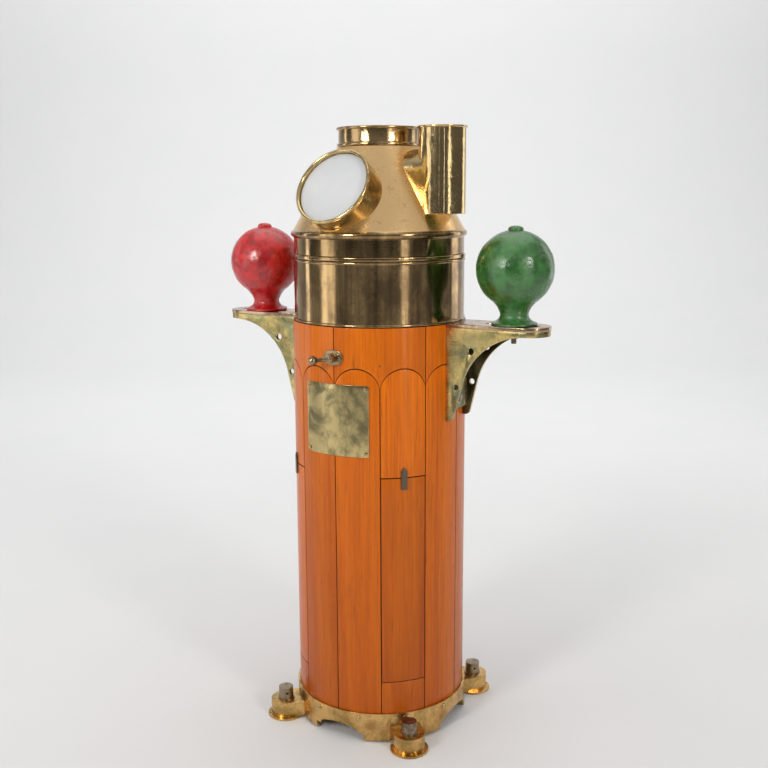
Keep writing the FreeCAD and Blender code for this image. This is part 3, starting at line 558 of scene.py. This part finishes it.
def curved_panel(name, azimuth, half_width, low_at, high_at, material, body, replaced, slot="teak",
                 wall=WOOD_WALL, face=WOOD_RADIUS, columns_from=None, edge=EDGE):
    """A solid panel bent round the pedestal; its lower and upper edges are functions of the arc length."""
    across = columns_from or edge_steps(-half_width, half_width, 18, edge)
    vertices = []
    seam_shade = []
    outer = []
    inner = []
    for position in across:
        side = inset(min(position + half_width, half_width - position), edge)
        low = low_at(position)
        high = high_at(position)
        outer_column = []
        inner_column = []
        for height in edge_steps(low, high, 14, edge):
            rim = inset(min(height - low, high - height), edge)
            depth = max(side, rim)
            angle = azimuth + math.degrees(position / face)
            outer_column.append(len(vertices))
            vertices.append(around(face - depth, angle, height))
            inner_column.append(len(vertices))
            vertices.append(around(face - wall, angle, height))
            # Painted shade for the wood: how deep each outer point lies in a rounded edge, and full shade on
            # the inner face.
            seam_shade += [depth / edge, 1.0]
        outer.append(outer_column)
        inner.append(inner_column)
    faces = []
    rows = len(outer[0])
    columns = len(outer)
    for column in range(columns - 1):
        beside = column + 1
        for row in range(rows - 1):
            above = row + 1
            faces.append((outer[column][row], outer[beside][row], outer[beside][above], outer[column][above]))
            faces.append((inner[column][row], inner[column][above], inner[beside][above], inner[beside][row]))
    for face_side, back_side in ((outer[0], inner[0]), (outer[-1], inner[-1])):
        for row in range(rows - 1):
            faces.append((face_side[row], face_side[row + 1], back_side[row + 1], back_side[row]))
    for column in range(columns - 1):
        beside = column + 1
        for row in (0, rows - 1):
            faces.append((outer[column][row], inner[column][row], inner[beside][row], outer[beside][row]))
    panel = piece_from(name, vertices, faces, material, body, replaced, slot)
    panel.data.attributes.new("seam", "FLOAT", "POINT").data.foreach_set("value", seam_shade)
    return panel


STAVE_PITCH = WOOD_RADIUS * math.radians(STAVE_STEP)
STAVE_GAP = 0.35 * MM
STAVE_HALF = STAVE_PITCH / 2 - STAVE_GAP
DOOR_HALF = STAVE_PITCH / 2 - 2 * STAVE_GAP


def arch_height(position):
    """Height of a stave's round top at an arc length from its middle."""
    reach = min(abs(position), STAVE_HALF)
    centre = ARCH_TOP - ARCH_RADIUS
    return centre + math.sqrt(max(ARCH_RADIUS ** 2 - reach ** 2, 0)) - 0.4 * MM


def arch_columns(half_width):
    """Arc lengths spaced evenly round a stave's arch, with the rounded sides added."""
    span = math.asin(min(half_width / ARCH_RADIUS, 1))
    even = [ARCH_RADIUS * math.sin(span * index / 16) for index in range(-16, 17)]
    sides = [half_width - EDGE * step for step in (0.25, 0.6, 1.0)]
    return sorted(set([round(value, 7) for value in even + sides + [-side for side in sides]]))


def constant(height):
    """A level edge for curved_panel."""
    return lambda position: height


def build_staves():
    """Ten full staves, and at each door a short stave under it and one over it."""
    names = {0: "front_starboard", 2: "side_starboard_fore", 3: "side_starboard_aft", 4: "quarter_starboard",
             5: "back_starboard", 6: "back_port", 7: "quarter_port", 8: "side_port_aft", 9: "side_port_fore",
             11: "front_port"}
    rounded = arch_columns(STAVE_HALF)
    for index, label in names.items():
        curved_panel("stave_%s_wood" % label, STAVE_STEP * index + STAVE_STEP / 2, STAVE_HALF,
                     constant(WOOD_FOOT), arch_height, TEAKS[index % len(TEAKS)], "pedestal",
                     ("stave_" + label,), columns_from=rounded)
    for order, (side, azimuth) in enumerate(DOOR_AZIMUTHS.items()):
        curved_panel("lower_stave_%s_wood" % side, azimuth, STAVE_HALF, constant(WOOD_FOOT),
                     constant(DOOR_SILL - SILL_GAP), TEAKS[order], "pedestal", ("lower_stave_" + side,))
        curved_panel("upper_stave_%s_wood" % side, azimuth, STAVE_HALF,
                     constant(node_low("upper_stave_" + side).z), arch_height, TEAKS[order + 2], "pedestal",
                     ("upper_stave_" + side,), columns_from=rounded)
        build_door(side, azimuth, TEAKS[order + 1])
        build_door_stops(side, azimuth)


def build_pins():
    """Dark heads of the pins that hold the friezes, one over each valley between two arches."""
    height = node_low("frieze_1").z + 41 * MM
    low = WOOD_RADIUS - 3 * MM
    face = WOOD_RADIUS + 0.25 * MM
    length = face - low
    outline = [(0, 0), (1.9 * MM, 0), (1.9 * MM, length - 0.2 * MM), (1.5 * MM, length), (0, length)]
    outward = Matrix.Translation((0, -low, height)) @ Matrix.Rotation(math.radians(90), 4, "X")
    for index in range(360 // STAVE_STEP):
        place = azimuth_matrix(STAVE_STEP * index) @ outward
        lathe("frieze_pin_%d" % index, outline, BLACKENED, "pedestal", (), "screw_brass", segments=20,
              place=place)


def build_door_stops(side, azimuth):
    """Two battens inside the opening that the closed door rests against."""
    for index, sign in enumerate((-1, 1)):
        turn = azimuth + sign * math.degrees((DOOR_HALF + 3 * MM) / WOOD_RADIUS)
        curved_panel("door_stop_%s_%d" % (side, index), turn, 6.5 * MM, constant(DOOR_SILL + 2 * MM),
                     constant(DOOR_HEAD - 2 * MM), INNER_WOOD, "pedestal", (), slot="inner_wood",
                     wall=4 * MM, face=WOOD_RADIUS - WOOD_WALL - 0.6 * MM, edge=0.8 * MM)


def build_door(side, azimuth, material):
    """A door leaf, and the tongue behind its foot that it tilts on."""
    body = "door_" + side
    curved_panel(body + "_leaf", azimuth, DOOR_HALF, constant(DOOR_SILL), constant(DOOR_HEAD), material,
                 body, ())
    middle = Vector((0, -0.1468, DOOR_SILL + 7 * MM))
    tongue = rounded_box(body + "_tongue", middle, (0.04, 0.0048, 0.034), 1 * MM)
    tongue.data.transform(azimuth_matrix(azimuth))
    finish_piece(tongue, material, body, (body,))


def rounded_box(name, centre, size, radius):
    """A box with rounded edges."""
    shape = bmesh.new()
    bmesh.ops.create_cube(shape, size=1.0)
    bmesh.ops.scale(shape, vec=Vector(size), verts=shape.verts)
    bmesh.ops.bevel(shape, geom=shape.edges[:], offset=radius, segments=3, profile=0.5, affect="EDGES")
    bmesh.ops.translate(shape, vec=centre, verts=shape.verts)
    mesh = bpy.data.meshes.new(name)
    shape.to_mesh(mesh)
    shape.free()
    return linked(name, mesh)


def build_frieze():
    """Six segments over the staves, each scalloped over two of them."""
    half = STAVE_PITCH - STAVE_GAP
    shift = STAVE_PITCH / 2
    single = arch_columns(shift - 0.2 * MM)
    columns = sorted({round(value + side * shift, 7) for value in single for side in (-1, 1)})
    columns = [-half] + [value for value in columns if abs(value) <= half] + [half]

    def scallop(position):
        return arch_height(abs(position) - shift) + 1.0 * MM

    for index in range(6):
        name = "frieze_%d" % (index + 1)
        curved_panel(name + "_wood", 60 * index + 30, half, scallop, constant(WOOD_TOP),
                     TEAKS[(index + 3) % len(TEAKS)], "pedestal", (name,), columns_from=columns)


# ---- brass housing and hood ----

def build_housing():
    """The drum under the hood: a beaded lip on the wood, a plain wall and a beaded top."""
    low = node_low("housing").z
    high = node_high("housing").z
    wall = node_high("housing").x - 2.5 * MM
    outline = [(0.024, low), (wall, low)]
    outline += arc((wall - 0.5 * MM, low + 3 * MM), 3 * MM, -85, 80, 8)
    outline += [(wall, low + 7 * MM), (wall, high - 7.5 * MM)]
    outline += arc((wall - 1.4 * MM, high - 3.5 * MM), 3.4 * MM, -65, 90, 8)
    outline += [(wall - 3 * MM, high), (wall - 3 * MM, low + 3 * MM), (0.024, low + 3 * MM)]
    lathe("housing_shell", outline, HOUSING_BRASS, "pedestal", ("housing",), segments=192)


def build_hood_ring():
    """The turning band between the housing and the hood, with three small lugs."""
    low = node_low("hood_ring").z
    high = node_high("hood_ring").z
    rim = 0.1732
    spigot = 0.1682
    joint = low + 12.2 * MM
    outline = [(0.163, low), (spigot, low), (spigot, joint), (rim - 1 * MM, joint)]
    outline += arc((rim - 2 * MM, joint + 2 * MM), 2 * MM, -70, 0, 4)
    outline += arc((rim - 2 * MM, high - 2 * MM), 2 * MM, 0, 85, 4)
    outline += [(0.163, high)]
    shells = [lathe_tool("band", outline, 192)]
    middle = Vector((0, -0.1738, (joint + high) / 2))
    for azimuth in HOOD_LUG_AZIMUTHS:
        lug = rounded_box("lug", middle, (0.010, 0.004, high - joint), 0.8 * MM)
        lug.data.transform(azimuth_matrix(azimuth))
        shells.append(lug)
    joined = join_meshes(shells, "hood_ring_band")
    finish_piece(joined, POLISHED_BRASS, "hood_ring", ("hood_ring",))


def combine(piece, tools, operation):
    """Cut tools from a mesh piece, or add them to it; the tools are used up."""
    for tool in tools:
        step = piece.modifiers.new(operation, "BOOLEAN")
        step.operation = operation
        step.solver = "EXACT"
        step.object = tool
        apply_modifiers(piece)
        bpy.data.objects.remove(tool)


CONE_FOOT = 1.017
CONE_TOP = node_low("collar").z
CONE_FOOT_RADIUS = 0.171
CONE_TOP_RADIUS = 0.082
HOOD_TOP = node_high("collar").z


def cone_tool(name):
    """The hood's inside and its skin, to cut away what would run into it."""
    skin = 0.05 * MM
    shoulder = CONE_FOOT_RADIUS + 4.5 * MM + skin
    return lathe_tool(name, [(0, 0.9), (shoulder, 0.9), (shoulder, CONE_FOOT - 6 * MM),
                             (CONE_FOOT_RADIUS + skin, CONE_FOOT + skin), (CONE_TOP_RADIUS + skin, CONE_TOP),
                             (0, CONE_TOP)], 192)


def window_place():
    """The window's own frame: +Z comes out of the glass, the origin is in the middle of its front."""
    front = around(0.161, WINDOW_AZIMUTH, 1.102)
    return (Matrix.Translation(front) @ azimuth_matrix(WINDOW_AZIMUTH)
            @ Matrix.Rotation(math.radians(90 - WINDOW_TILT), 4, "X"))


def trunk_tool(name, half, low, reach, crown):
    """A round-topped block from the cone out to the lamp tube's axis, as an arch swept outwards."""
    profile = [(-half, low), (half, low)]
    for index in range(33):
        angle = math.radians(180 * index / 32)
        profile.append((half * math.cos(angle), crown + half * math.sin(angle)))
    vertices = []
    for outward in (0.06, reach):
        for across, height in profile:
            vertices.append(azimuth_matrix(LAMP_AZIMUTH) @ Vector((across, -outward, height)))
    count = len(profile)
    faces = [tuple(range(count)), tuple(range(count, 2 * count))]
    for index in range(count):
        following = (index + 1) % count
        faces.append((index, following, count + following, count + index))
    return tool_object(name, vertices, faces)


LAMP_RADIUS = 0.045
LAMP_REACH = 0.154
LAMP_FOOT = node_low("lamp_tube").z
LAMP_TOP = node_high("lamp_tube").z
TRUNK_CROWN = 1.126


def build_hood():
    """The shell with its window opening, the window, the collar and the lid."""
    build_hood_shell()
    build_window()
    build_collar()


def build_hood_shell():
    """A band, a shoulder bead and a cone, opened for the window and for the lamp's trunk."""
    low = node_low("hood").z
    outline = [(0.168, low), (0.1697, low), (0.1705, low + 0.8 * MM), (0.1705, CONE_FOOT - 15 * MM)]
    outline += arc((0.1690, CONE_FOOT - 7.2 * MM), 7.2 * MM, -72, 70, 16)
    outline += [(CONE_FOOT_RADIUS, CONE_FOOT + 0.2 * MM)]
    for index in range(1, 13):
        share = index / 12
        outline.append((CONE_FOOT_RADIUS + (CONE_TOP_RADIUS - CONE_FOOT_RADIUS) * share,
                        CONE_FOOT + (CONE_TOP - CONE_FOOT) * share))
    outline += [(CONE_TOP_RADIUS - 3 * MM, CONE_TOP), (CONE_FOOT_RADIUS - 3 * MM, CONE_FOOT - 1 * MM),
                (0.168, CONE_FOOT - 16 * MM)]
    vertices, faces = lathe_mesh(outline, 256)
    shell = tool_object("hood_shell", vertices, faces)
    opening = [(0, -0.14), (0.073, -0.14), (0.073, 0.02), (0, 0.02)]
    window = lathe_tool("window_opening", opening, 128, window_place())
    trunk = trunk_tool("trunk_opening", LAMP_RADIUS - 2.5 * MM, LAMP_FOOT + 1.5 * MM, LAMP_REACH, TRUNK_CROWN)
    combine(shell, [window, trunk], "DIFFERENCE")
    finish_piece(shell, HOOD_BRASS, "hood", ("hood",))
    # The band below the cone's foot takes the darker housing brass. The lighter hood brass on the cone is
    # partly painted light.
    shell.data.materials.append(HOUSING_BRASS)
    for polygon in shell.data.polygons:
        if polygon.center.z < CONE_FOOT - 0.5 * MM:
            polygon.material_index = 1


def build_window():
    """A short tube with a rolled lip round a bulged pane."""
    lip = arc((0.0757, -3 * MM), 3.3 * MM, -40, 200, 18)
    ring = [(0.0732, -0.12), (0.0778, -0.12), (0.0778, -7 * MM)] + lip + [(0.0732, -6 * MM)]
    tube = lathe_tool("window_tube_ring", ring, 192, window_place())
    combine(tube, [cone_tool("window_cone")], "DIFFERENCE")
    finish_piece(tube, WINDOW_BRASS, "hood", ("window_tube",))

    rim = 0.0728
    pane = [(0, -11 * MM), (rim, -11 * MM), (rim, -9 * MM)]
    pane += [(rim * math.cos(math.radians(angle)), (-9 + 3.2 * math.sin(math.radians(angle))) * MM)
             for angle in range(10, 90, 8)]
    pane += [(0, -5.8 * MM)]
    lathe("window_pane", pane, OPAL_GLASS, "hood", ("window_glass",), segments=128, place=window_place())


def build_collar():
    """The beaded collar on the cone, and the lid with its knob inside it."""
    outline = [(0.074, CONE_TOP), (0.0785, CONE_TOP)] + arc((0.0785, CONE_TOP + 4 * MM), 4 * MM, -80, 78, 10)
    outline += [(0.079, CONE_TOP + 9 * MM), (0.079, HOOD_TOP - 6 * MM)]
    outline += arc((0.0806, HOOD_TOP - 2.9 * MM), 2.9 * MM, -100, 90, 10)
    outline += [(0.078, HOOD_TOP), (0.077, HOOD_TOP - 0.8 * MM), (0.077, CONE_TOP + 12 * MM),
                (0.074, CONE_TOP + 12 * MM)]
    lathe("collar_band", outline, POLISHED_BRASS, "hood", ("collar",), segments=160)

    base = node_low("collar_lid").z
    outline = [(radius, base + rise * MM) for radius, rise in (
        (0, 0), (0.0766, 0), (0.0766, 2.2), (0.0758, 2.8), (0.06, 3.2), (0.02, 4.6), (0.007, 5.2), (0.005, 8))]
    outline += arc((0.005, base + 15.5 * MM), 5 * MM, -70, 80, 8) + [(0, base + 20.6 * MM)]
    lathe("lid_turning", outline, POLISHED_BRASS, "lid", ("collar_lid",), segments=128)


def build_lamp():
    """The lamp tube with its trunk, rolled rim and lapped seam, and the oil lamp inside."""
    axis = around(LAMP_REACH, LAMP_AZIMUTH, 0)
    centre = (axis.x, axis.y)
    wall = 1.5 * MM
    bore = LAMP_RADIUS - wall
    trunk_half = LAMP_RADIUS - 1 * MM
    outline = [(0, LAMP_FOOT), (trunk_half, LAMP_FOOT), (LAMP_RADIUS, LAMP_FOOT + 1 * MM),
               (LAMP_RADIUS, LAMP_TOP - 1 * MM), (0, LAMP_TOP - 1 * MM)]
    barrel = lathe_tool("lamp_tube_sheet", outline, 160, centre=centre)
    combine(barrel, [trunk_tool("trunk_skin", trunk_half, LAMP_FOOT, LAMP_REACH, TRUNK_CROWN)], "UNION")
    outline = [(0, LAMP_FOOT + wall), (bore, LAMP_FOOT + wall), (bore, LAMP_TOP + 0.01), (0, LAMP_TOP + 0.01)]
    room = lathe_tool("lamp_room", outline, 160, centre=centre)
    duct = trunk_tool("lamp_duct", trunk_half - wall, LAMP_FOOT + wall, LAMP_REACH, TRUNK_CROWN)
    combine(barrel, [room, duct, cone_tool("lamp_cone")], "DIFFERENCE")

    rim = [(bore, LAMP_TOP - 4.5 * MM), (LAMP_RADIUS + 0.1 * MM, LAMP_TOP - 4.5 * MM)]
    rim += arc((LAMP_RADIUS + 0.6 * MM, LAMP_TOP - 2.3 * MM), 2.3 * MM, -80, 170, 16)
    rolled = lathe_tool("lamp_rim", rim, 160, centre=centre)
    seam = seam_strip(axis, LAMP_RADIUS, 26, 11, LAMP_FOOT + 1.2 * MM, LAMP_TOP - 5 * MM)
    sheet = join_meshes([barrel, rolled, seam], "lamp_tube_sheet")
    finish_piece(sheet, LAMP_BRASS, "hood", ("lamp_tube",))

    foot = node_low("oil_lamp").z
    outline = [(0, foot), (0.038, foot), (0.040, foot + 3 * MM), (0.040, foot + 24 * MM)]
    outline += arc((0.034, foot + 24 * MM), 6 * MM, 20, 80, 5)
    outline += [(radius, foot + rise * MM) for radius, rise in (
        (0.014, 32), (0.012, 34), (0.012, 46), (0.0145, 48), (0.0145, 52), (0.017, 60), (0.0165, 74),
        (0.0125, 90), (0.0120, 112), (0.0108, 112), (0.0112, 90), (0.015, 74), (0.0155, 60), (0.012, 52),
        (0, 51))]
    lathe("oil_lamp_turning", outline, AGED_BRASS, "lamp", ("oil_lamp",), segments=64, centre=centre)


def seam_strip(axis, radius, azimuth, width, low, high):
    """The lapped edge of a rolled sheet: a thin strip down a tube."""
    lift = 0.7 * MM
    steps = 8
    vertices = []
    for index in range(steps + 1):
        turn = math.radians(azimuth) + (index / steps - 0.5) * width * MM / radius
        raised = lift if 0 < index < steps else 0.1 * MM
        for height in (low, high):
            for reach in (radius - 0.6 * MM, radius + raised):
                vertices.append(axis + around(reach, math.degrees(turn), height))
    faces = []
    for index in range(steps):
        first = 4 * index
        second = first + 4
        faces += [(first + 1, second + 1, second + 3, first + 3), (first, first + 2, second + 2, second),
                  (first, second, second + 1, first + 1), (first + 2, first + 3, second + 3, second + 2)]
    last = 4 * steps
    faces += [(0, 1, 3, 2), (last, last + 2, last + 3, last + 1)]
    return tool_object("seam", vertices, faces)


# ---- spheres ----

def build_spheres():
    """The painted corrector spheres: a ball with a plug on top and a waisted foot, lumpy as cast."""
    for side, material, seed in (("starboard", GREEN_PAINT, 3.1), ("port", RED_PAINT, 8.7)):
        node = "sphere_" + side
        middle = node_middle(node)
        low = node_low(node).z
        high = node_high(node).z
        radius = (node_high(node).y - node_low(node).y) / 2
        centre = high - 7 * MM - radius
        outline = [(0, low), (0.0414, low)] + arc((0.0415, low + 2.5 * MM), 2.5 * MM, -85, 80, 8)
        outline += [(reach * MM, low + rise * MM) for reach, rise in (
            (38, 6.2), (34, 8.2), (30.3, 11.2), (27.8, 15), (26.9, 18.5), (27.3, 22.5), (29, 27.5),
            (32.2, 33.2), (36.4, 39), (40.4, 43.2))]
        outline += arc((0, centre), radius, -53, 78, 56)
        outline += [(reach * MM, centre + radius + rise * MM) for reach, rise in (
            (14.6, -1.2), (14.8, 0.6), (14.2, 2.8), (12.2, 4.8), (8.6, 6.3), (4.4, 7.1), (0, 7.3))]
        vertices, faces = lathe_mesh(outline, 144, centre=(middle.x, middle.y))
        casting = []
        for vertex in vertices:
            out = Vector((vertex.x - middle.x, vertex.y - middle.y, vertex.z - centre))
            lump = noise.fractal(vertex * 48 + Vector((seed, seed, seed)), 0.8, 2.1, 5)
            if vertex.z > low + 6 * MM:
                vertex = vertex + out.normalized() * lump * 0.5 * MM
            casting.append(vertex)
        piece_from(node + "_casting", casting, faces, material, node, (node,))


# ---- small brass on the pedestal ----

def build_nameplate():
    """A blank plate bent to the pedestal, with rounded corners."""
    low = node_low("nameplate").z
    high = node_high("nameplate").z
    face = 0.1769
    half = face * math.radians(46.4 / 2)
    corner = 5 * MM

    def rounding(position):
        over = max(abs(position) - (half - corner), 0)
        return corner - math.sqrt(max(corner ** 2 - over ** 2, 0))

    across = edge_steps(-half, half, 24)
    across += [side * (half - corner * share) for side in (-1, 1) for share in (0.15, 0.3, 0.45, 0.6, 0.8)]
    curved_panel("nameplate_sheet", 0, half, lambda position: low + rounding(position),
                 lambda position: high - rounding(position), PLATE_BRASS, "pedestal", ("nameplate",),
                 slot=None, wall=1.8 * MM, face=face, columns_from=sorted(across), edge=0.6 * MM)


def build_card():
    """The compass card: a paper disc with a plain rose and degree ticks."""
    top = 0.9242
    low = node_low("compass_card").z
    radius = 0.085
    outline = [(0, low), (0.006, low), (0.006, top - 1.2 * MM), (radius, top - 1.2 * MM), (radius, top),
               (0.006, top), (0.0045, top + 1.6 * MM), (0.002, top + 2.6 * MM), (0, top + 2.8 * MM)]
    lathe("card_disc", outline, CARD, "card", ("compass_card",), segments=180)
    vertices = []
    faces = []

    def mark(points):
        start = len(vertices)
        count = len(points)
        for lift in (0.02 * MM, 0.12 * MM):
            for radius_at, angle in points:
                vertices.append(around(radius_at, angle, top + lift))
        faces.append(tuple(range(start, start + count)))
        faces.append(tuple(range(start + count, start + 2 * count)))
        for index in range(count):
            following = (index + 1) % count
            faces.append((start + index, start + following, start + count + following, start + count + index))

    for degree in range(0, 360, 5):
        length = 0.0062 if degree % 10 == 0 else 0.0038
        width = 0.45 if degree % 10 == 0 else 0.28
        mark([(0.0820 - length, degree - width), (0.0820, degree - width), (0.0820, degree + width),
              (0.0820 - length, degree + width)])
    for low_ring, high_ring in ((0.0823, 0.0830), (0.0738, 0.0742)):
        for degree in range(0, 360, 3):
            mark([(low_ring, degree), (high_ring, degree), (high_ring, degree + 3), (low_ring, degree + 3)])
    for index in range(16):
        azimuth = index * 22.5
        reach, width = (0.070, 9) if index % 4 == 0 else (0.060, 8) if index % 2 == 0 else (0.048, 5)
        mark([(0.012, azimuth), (reach * 0.30, azimuth + width), (reach, azimuth)])
    piece_from("card_markings", vertices, faces, INK, "card", smooth=False)


BRACKETS = ("bracket_starboard", "bracket_port")
# The CAD nodes whose own shape is kept: node, material, and the rounding of its edges in millimetres.
REFINED = (
    ("base_ring", BASE_BRASS, 1.4), ("deck_pads", BASE_BRASS, 1.6), ("deck_bolts", DARK_BRONZE, 2.0),
    ("base_screws", SCREW_BRASS, 0.5), ("head_ring", INNER_WOOD, 1.0), ("escutcheon", AGED_BRASS, 1.4),
    ("plate_screws", SCREW_BRASS, 0.5), ("lever", AGED_BRASS, 1.2), ("magnet_drum", AGED_BRASS, 0.6),
    ("magnet_tube", AGED_BRASS, 0.5), ("magnet_bucket", AGED_BRASS, 0.6), ("magnet_rack", AGED_BRASS, 0.6),
    ("gimbal_bearer", AGED_BRASS, 0.8), ("gimbal_ring", LAMP_BRASS, 0.8), ("compass_bowl", LAMP_BRASS, 0.8),
    ("bowl_glass", CLEAR_GLASS, 0.4), ("slotted_plates", RAIL_BRONZE, 2.4),
    ("bracket_bolts", DARK_BRONZE, 1.6), ("bracket_starboard", TARNISHED, 1.6),
    ("bracket_port", TARNISHED, 1.6), ("clamp_stud_starboard", BLACKENED, 0.6),
    ("clamp_stud_port", BLACKENED, 0.6), ("door_latch_starboard", BLACKENED, 0.8),
    ("door_latch_port", BLACKENED, 0.8),
)


def round_tips(mesh):
    """Round the outer bottom corners of a bracket's cheeks."""
    shape = bmesh.new()
    shape.from_mesh(mesh)
    foot = min(vertex.co.z for vertex in shape.verts)
    tips = []
    for edge in shape.edges:
        first, second = (vertex.co for vertex in edge.verts)
        level = abs(first.z - foot) < 0.2 * MM and abs(second.z - foot) < 0.2 * MM
        if level and abs(abs(first.x) - abs(second.x)) < 0.2 * MM and abs(first.x) > 0.18:
            tips.append(edge)
    bmesh.ops.bevel(shape, geom=tips, offset=7 * MM, segments=6, profile=0.5, affect="EDGES")
    shape.to_mesh(mesh)
    shape.free()


def shade_inner_faces(piece):
    """Painted shade on the faces of a bracket's cheeks that look at each other: dark brass where the gap
    between them lies in shade.
    """
    piece.data.materials.append(PAINTED_SHADE_BRASS)
    for polygon in piece.data.polygons:
        if abs(polygon.normal.y) > 0.9 and polygon.normal.y * polygon.center.y < 0:
            polygon.material_index = 1


def build_refined():
    """The pieces whose shape comes straight from the CAD."""
    for node, material, bevel in REFINED:
        piece = refined(node, material, bevel * MM)
        if node in BRACKETS:
            shade_inner_faces(piece)


def build_chain():
    """The chain the bucket hangs on, between the drum and the bucket."""
    low = node_low("bucket_chain").z
    high = node_high("bucket_chain").z
    middle = node_middle("bucket_chain")
    wire = 0.75 * MM
    half_width = 1.7 * MM
    count = round((high - low) / (6.4 * MM))
    pitch = (high - low - 2 * wire) / count
    straight = pitch / 2 + wire - half_width
    steps = 20
    sides = 8
    vertices = []
    faces = []
    for link in range(count):
        centre = Vector((middle.x, middle.y, low + wire + pitch * (link + 0.5)))
        turn = Matrix.Rotation(math.radians(90 * (link % 2) + 45), 3, "Z")
        start = len(vertices)
        for index in range(steps):
            angle = 2 * math.pi * (index + 0.5) / steps
            lift = straight if math.sin(angle) > 0 else -straight
            outward = Vector((math.cos(angle), 0, math.sin(angle)))
            for side in range(sides):
                turned = 2 * math.pi * side / sides
                across = Vector((0, wire * math.sin(turned), lift))
                vertices.append(centre + turn @ (outward * (half_width + wire * math.cos(turned)) + across))
            for side in range(sides):
                beside = (side + 1) % sides
                here = start + index * sides
                following = start + (index + 1) % steps * sides
                faces.append((here + side, here + beside, following + beside, following + side))
    chain = tool_object("chain_links", vertices, faces)
    chain.data.materials.append(STEEL)
    soften(chain)
    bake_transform(chain)
    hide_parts("bucket_chain")


# ---- studio and camera ----

CAMERA_AZIMUTH = 30
CAMERA_DISTANCE = 2.0355
CAMERA_HEIGHT = 1.081
CAMERA_PITCH = 10.57
CAMERA_YAW = -0.24
CAMERA_ROLL = -0.28
FOCAL_PIXELS = 1005
PICTURE_PIXELS = 768
SENSOR = 36.0


def build_camera():
    """The photo's own view."""
    data = bpy.data.cameras.new("camera")
    data.sensor_width = SENSOR
    data.lens = SENSOR * FOCAL_PIXELS / PICTURE_PIXELS
    camera = linked("camera", data)
    place = Matrix.Translation(around(CAMERA_DISTANCE, CAMERA_AZIMUTH, CAMERA_HEIGHT))
    turn = Matrix.Rotation(math.radians(CAMERA_AZIMUTH + CAMERA_YAW), 4, "Z")
    tip = Matrix.Rotation(math.radians(90 - CAMERA_PITCH), 4, "X")
    roll = Matrix.Rotation(math.radians(CAMERA_ROLL), 4, "Z")
    camera.matrix_world = place @ turn @ tip @ roll
    bpy.context.scene.camera = camera


def area_light(name, width, height, power, place, colour=(1, 1, 1)):
    """A softbox that shines along its place's -Z axis."""
    data = bpy.data.lights.new(name, "AREA")
    data.shape = "RECTANGLE"
    data.size = width
    data.size_y = height
    data.energy = power
    data.color = colour
    linked(name, data).matrix_world = place


def aimed(position, target):
    """A place whose -Z axis looks at a target."""
    direction = (target - position).normalized()
    return Matrix.Translation(position) @ direction.to_track_quat("-Z", "Y").to_matrix().to_4x4()


def facing(azimuth, distance, height, target_height):
    """A place at an azimuth whose -Z axis looks at the pedestal."""
    return aimed(around(distance, azimuth, height), Vector((0, 0, target_height)))


def build_backdrop(material):
    """A pale floor that curves up into a wall behind the object."""
    bend = 2.2
    profile = [(-12.0, 0.0), (4.2, 0.0)]
    profile += [(4.2 + bend * math.sin(math.radians(angle)), bend - bend * math.cos(math.radians(angle)))
                for angle in range(6, 91, 6)]
    profile += [(4.2 + bend, 7.0)]
    vertices = []
    for along, height in profile:
        for across in (-14.0, 14.0):
            vertices.append(azimuth_matrix(CAMERA_AZIMUTH) @ Vector((across, along, height)))
    faces = [(2 * row, 2 * row + 1, 2 * row + 3, 2 * row + 2) for row in range(len(profile) - 1)]
    mesh = bpy.data.meshes.new("backdrop")
    mesh.from_pydata([tuple(vertex) for vertex in vertices], [], faces)
    mesh.materials.append(material)
    backdrop = linked("backdrop", mesh)
    soften(backdrop, 60)


def build_studio():
    """Paper backdrop, softboxes and a plain room that is darker below than above."""
    build_backdrop(studio_surface("studio_paper", 0.70, 0.995))
    for name, width, height, power, place, colour in (
            ("key", 0.7, 0.9, 46, (-10, 3.2, 2.1, 0.9), (1, 0.985, 0.95)),
            ("second", 0.5, 0.7, 26, (68, 3.2, 2.1, 0.9), (1, 0.985, 0.96)),
            ("left_panel", 1.3, 2.6, 14, (-40, 3.4, 1.4, 1.1), (1, 0.99, 0.97)),
            ("right_panel", 0.5, 2.6, 9, (63, 3.5, 1.4, 1.1), (1, 0.99, 0.97)),
            ("left_rim", 0.4, 2.6, 7, (-78, 3.2, 1.4, 1.1), (1, 1, 1)),
            ("right_rim", 1.0, 2.6, 11, (150, 3.2, 1.4, 1.1), (1, 0.97, 0.93)),
            ("top", 3.4, 3.4, 36, (200, 0.8, 3.9, 0.0), (1, 1, 1))):
        area_light(name, width, height, power, facing(*place), colour)
    wall = around(6.0, CAMERA_AZIMUTH + 180, 2.2)
    area_light("wall", 8.0, 0.8, 230, aimed(around(2.4, CAMERA_AZIMUTH + 180, 4.6), wall))
    world = bpy.data.worlds.new("studio")
    bpy.context.scene.world = world
    world.use_nodes = True
    tree = world.node_tree
    background = tree.nodes["Background"]
    position = tree.nodes.new("ShaderNodeTexCoord")
    split = tree.nodes.new("ShaderNodeSeparateXYZ")
    ramp = tree.nodes.new("ShaderNodeValToRGB")
    tree.links.new(position.outputs["Generated"], split.inputs["Vector"])
    tree.links.new(split.outputs["Z"], ramp.inputs["Fac"])
    tree.links.new(ramp.outputs["Color"], background.inputs["Color"])
    floor_end, sky_end = ramp.color_ramp.elements
    floor_end.color = (0.16, 0.16, 0.165, 1)
    sky_end.position = 0.75
    sky_end.color = (0.95, 0.96, 0.97, 1)
    background.inputs["Strength"].default_value = 0.55
    bpy.context.scene.view_settings.view_transform = "Standard"


build_camera()
build_studio()
build_staves()
build_frieze()
build_housing()
build_hood_ring()
build_hood()
build_lamp()
build_spheres()
build_nameplate()
build_card()
build_refined()
build_chain()
build_pins()
